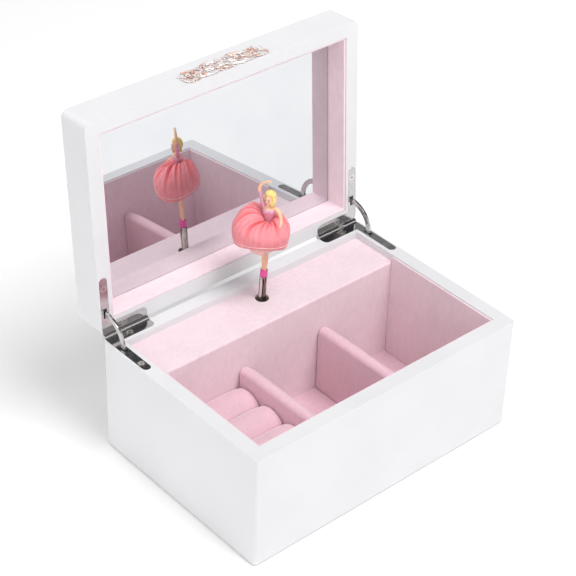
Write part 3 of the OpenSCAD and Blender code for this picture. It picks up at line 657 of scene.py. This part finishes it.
class MUSICBOX_OT_linings(bpy.types.Operator):
    """Lines the walls, floor, shelf and lid with velvet"""

    bl_idname = "musicbox.linings"
    bl_label = "Linings"

    def execute(self, context):
        sizes = context.scene.box_sizes
        colours = context.scene.box_colours
        cloth = velvet("wall_velvet", tuple(colours.lining))
        # The floor wears the darker pad velvet, painted shade deep in the compartments; the lid
        # wears the wall velvet made lighter, painted light
        deep = velvet("floor_velvet_painted_shade", tuple(colours.pads))
        pale = velvet("lid_velvet_painted_light", shade(colours.lining, 1.09))
        floor_edge, short = 0.25, 2 * MM
        for node, body in (
            ("front_lining", "base"), ("left_lining", "base"), ("right_lining", "base"),
            ("floor_lining", "base"), ("shelf_lining", "base"), ("lid_lining", "lid"),
        ):
            width = floor_edge if node == "floor_lining" else sizes.lining_edge / MM
            bm = copied(node)
            if node == "shelf_lining":
                low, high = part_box(node)
                # The cloth turns over the front of the shelf in a soft roll
                ease(bm, sizes.fold_edge / MM, 5, lambda e: all(
                    v.co.z > high.z - 1e-5 and v.co.y < low.y + 1e-5 for v in e.verts))
            bm = ease(bm, width, 3, lambda e: e.calc_length() > short, 40)
            pile = {"floor_lining": deep, "lid_lining": pale}.get(node, cloth)
            put(node + "_velvet", bm, pile, body, [node], even=True)
        return {"FINISHED"}


class MUSICBOX_OT_pads(bpy.types.Operator):
    """Makes the padded dividers and the ring rolls"""

    bl_idname = "musicbox.pads"
    bl_label = "Dividers and ring rolls"

    def execute(self, context):
        sizes = context.scene.box_sizes
        colours = context.scene.box_colours
        # The rolls and dividers wear the darker pad velvet: painted shade deep in the compartments
        cloth = velvet("pad_velvet_painted_shade", tuple(colours.pads), 1.2)
        cuts, divider_pinch, roll_pinch = 12, 0.03, 0.045
        for node, along in [("left_divider", 1), ("right_divider", 1)] + [
            (f"ring_roll_{n}", 0) for n in (1, 2, 3, 4)
        ]:
            bm = ease(copied(node), sizes.pad_edge / MM, 4, corner=50)
            low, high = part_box(node)
            for n in range(1, cuts):
                spot = low + (high - low) * n / cuts
                normal = Vector([float(i == along) for i in range(3)])
                bmesh.ops.bisect_plane(
                    bm, geom=bm.verts[:] + bm.edges[:] + bm.faces[:], dist=1e-6,
                    plane_co=spot, plane_no=normal,
                )
            crown(bm, along, roll_pinch if along == 0 else divider_pinch)
            piece = put(node + "_pad", bm, cloth, "base", [node], sharp=55)
        return {"FINISHED"}


class MUSICBOX_OT_mirror(bpy.types.Operator):
    """Sets the mirror in the lid"""

    bl_idname = "musicbox.mirror"
    bl_label = "Mirror"

    def execute(self, context):
        bm = ease(copied("mirror"), 0.3, 1)
        put("mirror_glass", bm, silvered_glass(), "lid", ["mirror"], sharp=20)
        coat("mirror_backing", board("adhesive_sheet", linear("C9C4BA")))
        return {"FINISHED"}


class MUSICBOX_OT_hinges(bpy.types.Operator):
    """Polishes the hinges, arms, pins and screws"""

    bl_idname = "musicbox.hinges"
    bl_label = "Hinges"

    def execute(self, context):
        sizes = context.scene.box_sizes
        chrome = metal("bright_chrome", linear("C9C7C6"), 0.1, (1, 6, 1), 0.006, 0.16)
        steel = metal("screw_steel", linear("DAD5D0"), 0.2, (1, 1, 1), 0.01, 0.12)
        for node, body in (
            ("base_hinge_left", "base"), ("base_hinge_right", "base"),
            ("lid_hinge_left", "lid"), ("lid_hinge_right", "lid"),
            ("support_arm_left", "arm_left"), ("support_arm_right", "arm_right"),
        ):
            bm = ease(copied(node), sizes.metal_edge / MM, 2)
            put(node + "_plate", bm, chrome, body, [node], even=True)
        for node in ("hinge_pins", "base_hinge_screws", "lid_hinge_screws"):
            coat(node, steel)
        return {"FINISHED"}


class MUSICBOX_OT_ornament(bpy.types.Operator):
    """Makes the scrolled ornament with its flowers and beads"""

    bl_idname = "musicbox.ornament"
    bl_label = "Ornament"

    def spiral(self, x, y, start, turns, reach, thick):
        """A scroll that winds in from its reach to its eye."""
        path = []
        steps = 14
        for i in range(steps + 1):
            share = i / steps
            angle = math.radians(start) + turns * 2 * math.pi * share
            r = reach * (1 - share) ** 0.8 + 0.35
            path.append((x + r * math.cos(angle), -0.55 - 0.2 * share, y + r * math.sin(angle),
                         thick * (1 - 0.5 * share)))
        return path

    def flower(self, x, y, size, petals):
        """A domed eye with petals round it."""
        parts = [blob((x, -0.95, y), (size * 0.3, 0.45, size * 0.3), rings=10)]
        for n in range(petals):
            angle = 2 * math.pi * n / petals + 0.2
            turn = Matrix.Rotation(-angle, 3, "Y") @ Matrix.Rotation(math.radians(18), 3, "Z")
            spot = (x + 0.58 * size * math.cos(angle), -0.6, y + 0.58 * size * math.sin(angle))
            parts.append(blob(spot, (size * 0.46, 0.4, size * 0.28), turn, rings=10))
        return parts

    def execute(self, context):
        sizes = context.scene.box_sizes
        paths = [
            self.spiral(7.2, 9.6, 215, 1.25, 3.4, 0.62),
            self.spiral(11.6, 5.0, 130, -1.15, 2.8, 0.55),
            self.spiral(22.2, 5.6, 160, 1.3, 3.0, 0.5),
            self.spiral(20.0, 10.4, 250, -1.2, 2.2, 0.42),
            [(0, -0.6, 2.2, 0.4), (3, -0.75, 3.6, 0.7), (7.5, -0.7, 2.4, 0.6), (13, -0.6, 2.0, 0.5),
             (18.5, -0.6, 3.0, 0.45), (24.6, -0.5, 2.2, 0.3)],
            [(2.6, -0.6, 11.6, 0.35), (6.2, -0.8, 13.2, 0.6), (11.2, -0.75, 12.4, 0.55),
             (15.8, -0.6, 11.0, 0.4)],
        ]
        paths = [[(x, y, z, r * 1.35) for x, y, z, r in path] for path in paths]
        half = [strands(paths, 6, 3)]
        # Small leaves crowd the ground between the scrolls
        rng = random.Random(3)
        leaves, per_row = 64, 16
        for n in range(leaves):
            row, place_in_row = divmod(n, per_row)
            x, y = 1.0 + place_in_row * 1.62 + rng.uniform(-0.6, 0.6), 2.6 + row * 3.1
            y += rng.uniform(-0.9, 0.9) - 0.06 * max(0.0, x - 14) * row
            half.append(blob((x, -0.35, y), (rng.uniform(0.9, 1.5), 0.42, rng.uniform(0.45, 0.7)),
                             Matrix.Rotation(rng.uniform(0, 3.1), 3, "Y"), rings=8))
        half += self.flower(16.0, 7.0, 2.5, sizes.petals)
        half += self.flower(24.6, 8.9, 1.6, sizes.petals - 1)
        for x, y, angle, size in (
            (4.6, 5.6, 35, 2.3), (9.4, 12.6, -25, 2.0), (13.0, 9.8, 70, 1.8), (19.2, 2.2, -20, 1.9),
            (21.6, 12.4, 30, 1.6), (25.9, 4.0, 60, 1.4),
        ):
            half.append(blob((x, -0.62, y), (size, 0.5, size * 0.42),
                             Matrix.Rotation(-math.radians(angle), 3, "Y"), rings=10))
        for x, y, size in (
            (5.2, 2.0, 0.55), (10.4, 2.0, 0.5), (15.6, 2.4, 0.5), (22.6, 1.9, 0.5),
            (3.8, 13.4, 0.5), (12.8, 13.3, 0.5), (18.4, 12.6, 0.5), (26.3, 6.6, 0.5),
        ):
            half.append(blob((x, -0.6, y), (size, size, size), rings=8))
        side = joined(*half)
        middle = self.flower(0, 7.6, 3.4, sizes.petals)
        middle.append(blob((0, -0.6, 12.9), (1.1, 0.55, 1.9), rings=10))
        middle.append(blob((0, -0.6, 2.2), (1.0, 0.55, 1.3), rings=10))
        bm = joined(side, flipped(side), *middle)
        # Where it lies with the lid shut
        shut = [OPENED.inverted() @ v.co for v in NODES["ornament"].data.vertices]
        low, high = (Vector(pick(v[i] for v in shut) for i in range(3)) for pick in (min, max))
        middle_x = (low.x + high.x) / 2 - 2.4 * MM
        place = OPENED @ Matrix.Translation(Vector((middle_x, high.y, low.z)))
        bmesh.ops.scale(bm, vec=(1.065, 0.9, 1.0), verts=bm.verts)
        # Flat behind, so that it lies on the lid and clears the base
        for v in bm.verts:
            v.co.y = min(v.co.y, 0.15 * MM)
        put("scroll_ornament", bm, plated_ornament(), "lid", ["ornament"], place=place)
        return {"FINISHED"}


class MUSICBOX_OT_clockwork(bpy.types.Operator):
    """Finishes the clockwork, its key and the key's bush"""

    bl_idname = "musicbox.clockwork"
    bl_label = "Clockwork"

    def execute(self, context):
        brass = metal("drawn_brass", linear("D9B263"), 0.22, (1, 1, 6), 0.01, 0.22)
        steel = metal("blued_steel", linear("A9ABB0"), 0.24, (5, 1, 1), 0.01, 0.2)
        cast = metal("cast_zinc", linear("A8A6A2"), 0.42, (1, 1, 1), 0.05, 0.25)
        nickel = metal("nickel_plate", linear("CFCBC4"), 0.16, (1, 1, 1), 0.01, 0.15)
        for node in ("bedplate", "comb_block", "cylinder_brackets", "spindle_bracket",
                     "governor_bracket"):
            coat(node, cast)
        for node in ("cylinder_drum", "cylinder_gear", "cylinder_pinion", "spring_barrel",
                     "barrel_cover", "governor_wheel", "spindle_gear"):
            coat(node, brass)
        for node in ("bedplate_screws", "comb", "comb_screws", "cylinder_arbor", "mainspring",
                     "winding_arbor", "governor_worm", "governor_fan", "spindle"):
            coat(node, steel)
        bm = ease(copied("winding_key"), 0.3, 3)
        put("butterfly_key", bm, nickel, "winder", ["winding_key"], even=True)
        bm = ease(copied("key_bush"), 0.2, 2)
        put("key_bush_ring", bm, nickel, "base", ["key_bush"], even=True)
        return {"FINISHED"}


class MUSICBOX_OT_mast(bpy.types.Operator):
    """Makes the dancer's rolled tube and the spring below it"""

    bl_idname = "musicbox.mast"
    bl_label = "Tube and spring"

    def execute(self, context):
        low, high, outer, wall = -3.6, TUBE_TOP, 2.2, 0.45
        wrapped, seam_turn, hole_turn = (math.radians(a) for a in (346, -125, -170))
        bm = bmesh.new()
        ring = [(outer - wall, low), (outer, low), (outer, high), (outer - wall, high)]
        verts = [bm.verts.new((r * MM, 0, z * MM)) for r, z in ring]
        face = bm.faces.new(verts)
        bmesh.ops.spin(
            bm, geom=[face], cent=(0, 0, 0), axis=(0, 0, 1), angle=wrapped, steps=60
        )
        bmesh.ops.recalc_face_normals(bm, faces=bm.faces)
        bmesh.ops.rotate(bm, cent=(0, 0, 0), matrix=Matrix.Rotation(seam_turn, 3, "Z"),
                         verts=bm.verts)
        ease(bm, 0.1, 2, corner=50)
        put("rolled_tube", bm, drawn_tube(), "dancer", ["dancer_tube"], place=LEANT)
        # The small hole near the tube's top is a dark blob: painted shade where the hole is
        spot = Matrix.Rotation(hole_turn, 4, "Z") @ Vector((outer - 0.1, 0, high - 1.1))
        dark = moulded("painted_tube_shade", linear("2B2320"), 0.6)
        put("tube_hole_shade", blob(spot, (0.34, 0.34, 0.42), rings=10), dark, "dancer",
            place=LEANT)
        # A dark core, painted shade for the inside of the tube, fills it behind its open seam
        put("tube_core_shade", blob((0, 0, 3.4), (1.6, 1.6, 6.4), rings=16), dark, "dancer",
            place=LEANT)

        wire = metal("spring_wire", linear("9C9A98"), 0.25, (1, 1, 1), 0.01, 0.2)
        low, high = (corner.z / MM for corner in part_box("dancer_spring"))
        turns, around, reach, thick = 11, 12, 1.5, 0.24
        steps = turns * around
        middle = PIVOT / MM
        path = []
        for i in range(steps + 1):
            angle = 2 * math.pi * i / around
            path.append((middle.x + reach * math.cos(angle), middle.y + reach * math.sin(angle),
                         low + 0.3 + (high - low + 1.2) * i / steps, thick))
        coil = put("dancer_coil", strands([path], 2, 2), wire, None, ["dancer_spring"])
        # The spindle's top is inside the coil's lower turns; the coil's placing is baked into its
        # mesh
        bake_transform(coil)
        return {"FINISHED"}


class MUSICBOX_OT_dancer(bpy.types.Operator):
    """Models the small moulded dancer"""

    bl_idname = "musicbox.dancer"
    bl_label = "Dancer"

    def execute(self, context):
        colours = context.scene.box_colours
        skin = moulded("painted_skin", tuple(colours.skin), 0.4)
        lilac = moulded("pearl_bodice", tuple(colours.bodice), 0.3, 0.3)
        gold = moulded("moulded_hair", tuple(colours.hair), 0.45, 0.0, 0.05)
        pink = moulded("painted_shoes", tuple(colours.shoes), 0.3)
        # Her head turns a little to her right
        look = Matrix.Translation(Vector((-0.3, 0, TUBE_TOP + 50.3)) * MM) @ Matrix.Rotation(
            math.radians(-18), 4, "Z"
        )
        self.legs(skin)
        self.shoes(pink)
        self.bodice(lilac)
        self.arms_and_head(skin, look)
        self.painted_face(pink, FACING @ look)
        self.hair(gold, FACING @ look)
        return {"FINISHED"}

    def body(self, *profile):
        """A round body whose heights count from the top of the tube."""
        return turned([(r, TUBE_TOP + z) for r, z in profile])

    def limbs(self, *paths):
        """Tapering limbs whose heights count from the top of the tube."""
        return strands([[(x, y, TUBE_TOP + z, r) for x, y, z, r in path] for path in paths], 7, 5)

    def flattened(self, bm):
        """Thinner from front to back than from side to side."""
        for v in bm.verts:
            v.co.x *= 0.84
            v.co.y *= 1.14
        return bm

    def add(self, name, bm, material, cad=(), place=FACING):
        put(name, bm, material, "dancer", cad, sharp=60, place=place)

    def legs(self, skin):
        """Two legs held together, calf and knee showing."""
        legs = []
        for side in (-1, 1):
            leg = self.body((0, 0.5), (0.95, 0.6), (0.85, 3.5), (0.92, 6), (1.22, 11), (1.28, 14),
                            (1.02, 18), (1.2, 21), (1.45, 26), (1.55, 31), (0, 33))
            bmesh.ops.translate(leg, vec=(side * 0.12 * MM, side * 0.6 * MM, 0), verts=leg.verts)
            legs.append(leg)
        self.add("dancer_legs", joined(*legs), skin)

    def shoes(self, pink):
        """Ballet shoes, on a peg in the tube."""
        peg = self.body((0, -1.4), (1.66, -1.2), (1.66, 0.2), (2.05, 0.25), (2.2, 0.8), (2.1, 2.6),
                        (2.05, 3.9), (1.7, 4.5), (1.2, 4.2), (0, 4.0))
        around = [2 * math.pi * n / 12 for n in range(12)]
        band = strands([[(2.05 * math.cos(a), 1.85 * math.sin(a),
                          TUBE_TOP + 4.1 + 0.3 * math.sin(3 * a), 0.3) for a in around]],
                       4, 3, closed=True)
        toes = [blob((-1.05, side * 0.9, TUBE_TOP + 1.7), (1.3, 0.95, 1.9), rings=12)
                for side in (-1, 1)]
        self.add("dancer_shoes", joined(peg, band, *toes), pink, ["dancer_figure"])

    def bodice(self, lilac):
        """Bodice and sleeve, narrow at the waist, pointed in front over the skirt."""
        bodice = self.body((0, 33.4), (1.9, 33.6), (2.3, 35.0), (2.05, 36.6), (2.15, 37.8),
                           (2.6, 40.0), (3.1, 42.2), (3.2, 43.5), (2.8, 44.5), (1.6, 44.9),
                           (0, 45.0))
        for v in bodice.verts:
            front = max(0.0, -v.co.x / MM) / 2.6
            low = max(0.0, min(1.0, (TUBE_TOP + 38.8 - v.co.z / MM) / 3.0))
            v.co.z -= 1.2 * MM * front ** 3 * low
            v.co.x -= 1.3 * MM * front ** 3 * low
        busts = [blob((-1.65, side * 1.45, TUBE_TOP + 43.0), (1.35, 1.4, 1.3), rings=14)
                 for side in (-1, 1)]
        sleeve = self.limbs([(0, 2.4, 44.6, 1.2), (0.1, 3.6, 47.2, 1.2), (0.1, 4.6, 50.4, 1.12),
                             (0.1, 5.5, 53.6, 1.08), (0.05, 5.8, 54.6, 0.95)])
        neckline = self.limbs([(-2.1, -2.7, 44.1, 0.24), (-2.75, -1.4, 44.0, 0.27),
                               (-2.5, 0, 43.3, 0.25), (-2.75, 1.4, 44.0, 0.27),
                               (-2.1, 2.7, 44.1, 0.24)])
        self.add("dancer_bodice", joined(self.flattened(bodice), *busts, sleeve, neckline), lilac)

    def arms_and_head(self, skin, look):
        """One arm rounded over her head, the other resting on the skirt."""
        arms = self.limbs(
            [(0.1, 5.5, 53.4, 0.9), (0.05, 6.1, 55.8, 0.98), (0, 5.6, 57.8, 0.9),
             (-0.1, 4.2, 59.6, 0.8), (-0.2, 2.5, 61.0, 0.62), (-0.3, 1.3, 61.5, 0.62),
             (-0.4, 0.3, 61.4, 0.55), (-0.4, -0.5, 60.7, 0.28)],
            [(0, -2.3, 44.6, 1.1), (-0.1, -3.7, 45.0, 1.28), (-0.7, -5.4, 44.2, 1.2),
             (-1.8, -7.0, 41.8, 1.08), (-3.2, -7.8, 39.9, 0.9), (-4.6, -8.1, 38.9, 0.72),
             (-5.6, -8.1, 38.4, 0.74), (-6.6, -8.0, 37.9, 0.3)],
        )
        chest = self.flattened(self.body((0, 43.2), (2.5, 43.6), (2.75, 44.6), (2.3, 45.4),
                                         (1.3, 46.0), (1.0, 46.8), (1.0, 48.4), (0, 49.0)))
        head = blob((0, 0, 0), (2.75, 2.5, 3.6), rings=20)
        for v in head.verts:
            x, y, z = v.co / MM
            jaw = max(0.0, min(1.0, (-z - 0.2) / 3.4))
            v.co.x = (x * (1 - 0.12 * jaw) - 0.5 * jaw) * MM
            v.co.y = y * (1 - 0.36 * jaw) * MM
        nose = blob((-2.8, 0, -0.4), (0.4, 0.32, 0.5), rings=8)
        chin = blob((-2.0, 0, -2.9), (0.7, 0.7, 0.55), rings=8)
        face = joined(head, nose, chin)
        face.transform(look)
        self.add("dancer_skin", joined(arms, chest, face), skin)

    def painted_face(self, pink, place):
        """Painted eyes, brows and lips."""
        dark = moulded("painted_eyes", linear("3A2A35"), 0.25)
        marks = []
        for side in (-1, 1):
            marks.append(blob((-2.52, side * 0.98, 0.3), (0.2, 0.27, 0.2), rings=8))
            marks.append(strands([[(-2.66, side * 0.5, 1.05, 0.07), (-2.6, side * 1.0, 1.22, 0.1),
                                   (-2.3, side * 1.5, 1.0, 0.06)]], 3, 2))
        self.add("dancer_eyes", joined(*marks), dark, place=place)
        lips = joined(blob((-2.72, 0, -1.5), (0.16, 0.52, 0.14), rings=8),
                      blob((-2.68, 0, -1.75), (0.17, 0.42, 0.14), rings=8))
        self.add("dancer_lips", lips, pink, place=place)

    def hair(self, gold, place):
        """Hair swept back over the crown and down beside her left cheek."""
        crown_z, wide, deep, tall = 1.3, 2.85, 3.0, 3.7
        cap = blob((0.75, 0, crown_z), (deep, wide, tall), rings=20)
        for v in cap.verts:
            x, z = v.co.x / MM, v.co.z / MM - crown_z
            if x < -0.5 and z < 1.9:
                v.co.x = -0.5 * MM + (v.co.x + 0.5 * MM) * 0.1
        fall = [blob((0.3, -2.0, -1.4), (1.9, 1.15, 2.7), rings=14),
                blob((1.6, 0.3, -1.3), (1.6, 2.2, 2.5), rings=14)]
        locks, crown_locks, spread = [], 15, 74
        for n in range(crown_locks):
            lean = math.radians(-spread + n * 2 * spread / (crown_locks - 1))
            ring = math.cos(lean)
            locks.append([(0.75 - (deep + 0.05) * ring * math.sin(a), wide * math.sin(lean),
                           crown_z + tall * (0.35 + 0.65 * ring) * math.cos(a), r)
                          for a, r in ((1.05, 0.14), (0.6, 0.3), (0, 0.36), (-0.7, 0.36),
                                       (-1.3, 0.34), (-1.9, 0.3), (-2.3, 0.14))])
        for n in range(6):
            x = -1.1 + n * 0.5
            locks.append([(x, -2.2, 2.6, 0.2), (x + 0.1, -2.85, 1.0, 0.34),
                          (x + 0.2, -3.0, -1.2, 0.36), (x + 0.2, -2.4, -3.2, 0.3),
                          (x + 0.1, -1.9, -4.2, 0.12)])
            locks.append([(x, 2.2, 2.6, 0.2), (x + 0.1, 2.7, 1.0, 0.32),
                          (x + 0.5, 2.5, -1.0, 0.32), (x + 1.0, 1.8, -2.6, 0.16)])
        self.add("dancer_hair", joined(cap, *fall, strands(locks, 5, 3)), gold, place=place)


class MUSICBOX_OT_skirt(bpy.types.Operator):
    """Gathers the organza skirt and its lining"""

    bl_idname = "musicbox.skirt"
    bl_label = "Skirt"

    def execute(self, context):
        sizes = context.scene.box_sizes
        colours = context.scene.box_colours
        t = TUBE_TOP
        outer = [(2.3, 37.4), (3.0, 38.6), (4.8, 39.5), (7.6, 39.6), (10.4, 38.6), (13.0, 36.7),
                 (15.1, 34.0), (15.9, 31.4), (15.8, 28.8), (15.3, 26.0), (14.8, 23.6)]
        inner = [(2.3, 34.2), (5.2, 36.0), (8.6, 35.2), (11.0, 32.6), (12.3, 29.6), (12.6, 27.2),
                 (12.2, 25.6)]
        rng = random.Random(11)
        pleats = [(n, rng.uniform(0, 6.28), rng.uniform(0.6, 1.0)) for n in (6, 9, 15, 25)]
        drapes = [(n, rng.uniform(0, 6.28), rng.uniform(0.5, 1.0)) for n in (3, 5, 8)]
        front = math.radians(-132)
        out = Vector((-0.672, -0.741))
        sag, back_limit, give = Vector((-3.0, 1.8)), 14.0, 1.7

        def folded(u, s, r, z):
            """Where the cloth lies at angle u and share s of the way from waist to hem."""
            open_out = min(1.0, max(0.0, (s - 0.08) / 0.5))
            open_out = open_out * open_out * (3 - 2 * open_out)
            pleat = sum(a * math.sin(n * u + p) for n, p, a in pleats) / 1.7
            drape = sum(a * math.sin(n * u + p) for n, p, a in drapes) / 2.0
            tight = math.exp(-((s - 0.28) / 0.24) ** 2)
            depth = sizes.fold_depth / MM * pleat * (0.3 + 1.1 * tight) + 0.5 * drape * s
            ahead = math.cos(u - front)
            # Fuller behind her right shoulder, lower in front of the waist
            puff = 4.2 * math.exp(-((r - 9.5) / 6.0) ** 2) * max(0.0, math.cos(u - 1.87)) ** 1.4
            dip = 1.6 * math.exp(-((r - 4.5) / 4.5) ** 2) * max(0.0, ahead) ** 2
            z += depth * (1 - 0.65 * s) + puff - dip + 3.6 * ahead ** 2 * s ** 4 - 1.4 * s ** 4
            spread = r + depth * (0.15 + 0.6 * s)
            spot = Vector((spread * math.cos(u), spread * math.sin(u)))
            spot -= out * spot.dot(out) * 0.17 * open_out
            spot += sag * open_out
            # It gives way where the mirror is close behind it
            over = spot.y - back_limit
            if over > 0:
                spot.y = back_limit + give * math.tanh(over / give)
            return Vector((spot.x, spot.y, t + z)), pleat

        def cloth(profile, amount=1.0, droop=0.0):
            """A sheet turned from its profile, then gathered by this amount."""
            bm = bmesh.new()
            rows, columns = 34, 400
            layer = bm.verts.layers.float.new("share")
            crease_shade_layer = bm.verts.layers.float.new("fold")
            spline = [self.along(profile, i / rows) for i in range(rows + 1)]
            verts = [bm.verts.new((r * MM, 0, (t + z) * MM)) for r, z in spline]
            edges = [bm.edges.new(pair) for pair in zip(verts, verts[1:])]
            for i, v in enumerate(verts):
                v[layer] = i / rows
            bmesh.ops.spin(bm, geom=verts + edges, cent=(0, 0, 0), axis=(0, 0, 1),
                           angle=2 * math.pi, steps=columns, use_merge=True)
            bmesh.ops.remove_doubles(bm, verts=bm.verts, dist=1e-7)
            for v in bm.verts:
                u, s = math.atan2(v.co.y, v.co.x), v[layer]
                r, z = math.hypot(v.co.x, v.co.y) / MM, v.co.z / MM - t
                spot, pleat = folded(u, s, r, z)
                # Painted shade for the organza: the fold value is high in the valleys of the gathers
                # and at the waist under the bodice
                gathered, waist = math.exp(-((s - 0.25) / 0.3) ** 2), math.exp(-(s / 0.09) ** 2)
                v[crease_shade_layer] = max(0.0, 0.35 - pleat) * gathered + waist
                plain = Vector((r * math.cos(u), r * math.sin(u), t + z))
                spot = plain.lerp(spot, amount)
                spot.z -= droop * s ** 3 * max(0.0, math.cos(u - front)) ** 4
                v.co = spot * MM
            bmesh.ops.recalc_face_normals(bm, faces=bm.faces)
            return bm

        def depth_of(profile):
            """From waist to hem along the cloth, in metres."""
            steps = 60
            points = [Vector(self.along(profile, i / steps)) for i in range(steps + 1)]
            return sum((b - a).length for a, b in zip(points, points[1:])) * MM

        top = cloth(outer)
        area_top = sum(f.calc_area() for f in top.faces)
        coral = organza("coral_organza", tuple(colours.skirt))
        skirt = put("gathered_skirt", top, coral, "dancer", ["dancer_skirt"],
                    sharp=180, place=LEANT)
        under = cloth(inner, 0.8, 6.2)
        area_under = sum(f.calc_area() for f in under.faces)
        petticoat = put("skirt_underlayer", under, organza("pale_organza", linear("FBC4BF")),
                        "dancer", sharp=180, place=LEANT)

        # A stitched line runs above the hem
        ring, stitches, at, proud, thick = [], 160, 0.91, 0.08, 0.2
        for n in range(stitches):
            r, z = self.along(outer, at)
            ring.append((*folded(2 * math.pi * n / stitches, at, r + proud, z)[0], thick))
        thread = put("hem_stitching", strands([ring], 3, 3, closed=True),
                     organza("stitching_thread", linear("FFD0CD"), 0.3), "dancer",
                     sharp=180, place=LEANT)
        for piece in (skirt, petticoat):
            thickness = piece.modifiers.new("cloth_thickness", "SOLIDIFY")
            thickness.thickness, thickness.offset = 0.16 * MM, -1
        for piece, area, profile, under_it in (
            (skirt, area_top, outer, "dancer_bodice"),
            (petticoat, area_under, inner, "dancer_legs"),
        ):
            drop = round(depth_of(profile), 4)
            round(area / drop, 4)
        return {"FINISHED"}

    def along(self, profile, share):
        """The point at this share of a profile, rounded through its corners."""
        spot = share * (len(profile) - 1)
        i = min(int(spot), len(profile) - 2)
        f = spot - i
        p = [profile[max(0, min(len(profile) - 1, i + k))] for k in (-1, 0, 1, 2)]
        return tuple(
            0.5 * (2 * p[1][k] + (p[2][k] - p[0][k]) * f
                   + (2 * p[0][k] - 5 * p[1][k] + 4 * p[2][k] - p[3][k]) * f * f
                   + (3 * p[1][k] - p[0][k] - 3 * p[2][k] + p[3][k]) * f ** 3)
            for k in (0, 1)
        )


OPERATORS = (
    MUSICBOX_OT_stage,
    MUSICBOX_OT_case,
    MUSICBOX_OT_linings,
    MUSICBOX_OT_pads,
    MUSICBOX_OT_mirror,
    MUSICBOX_OT_hinges,
    MUSICBOX_OT_ornament,
    MUSICBOX_OT_clockwork,
    MUSICBOX_OT_mast,
    MUSICBOX_OT_dancer,
    MUSICBOX_OT_skirt,
)


class MUSICBOX_PT_panel(bpy.types.Panel):
    """Lists the sizes, the colours and the makers of the music box"""

    bl_idname = "MUSICBOX_PT_panel"
    bl_label = "Music Box"
    bl_space_type = "VIEW_3D"
    bl_region_type = "UI"
    bl_category = "Music Box"

    def draw(self, context):
        for group in (context.scene.box_sizes, context.scene.box_colours, context.scene.box_stage):
            column = self.layout.column()
            for name in group.__annotations__:
                column.prop(group, name)
        for operator in OPERATORS:
            self.layout.operator(operator.bl_idname)


GROUPS = {"box_sizes": BoxSizes, "box_colours": BoxColours, "box_stage": StageSettings}


def register():
    for name, group in GROUPS.items():
        bpy.utils.register_class(group)
        setattr(bpy.types.Scene, name, PointerProperty(type=group))
    for cls in (*OPERATORS, MUSICBOX_PT_panel):
        bpy.utils.register_class(cls)


def unregister():
    for cls in reversed((*OPERATORS, MUSICBOX_PT_panel)):
        bpy.utils.unregister_class(cls)
    for name, group in GROUPS.items():
        delattr(bpy.types.Scene, name)
        bpy.utils.unregister_class(group)


def main():
    register()
    for operator in OPERATORS:
        group, name = operator.bl_idname.split(".")
        getattr(getattr(bpy.ops, group), name)()


if __name__ == "__main__":
    main()
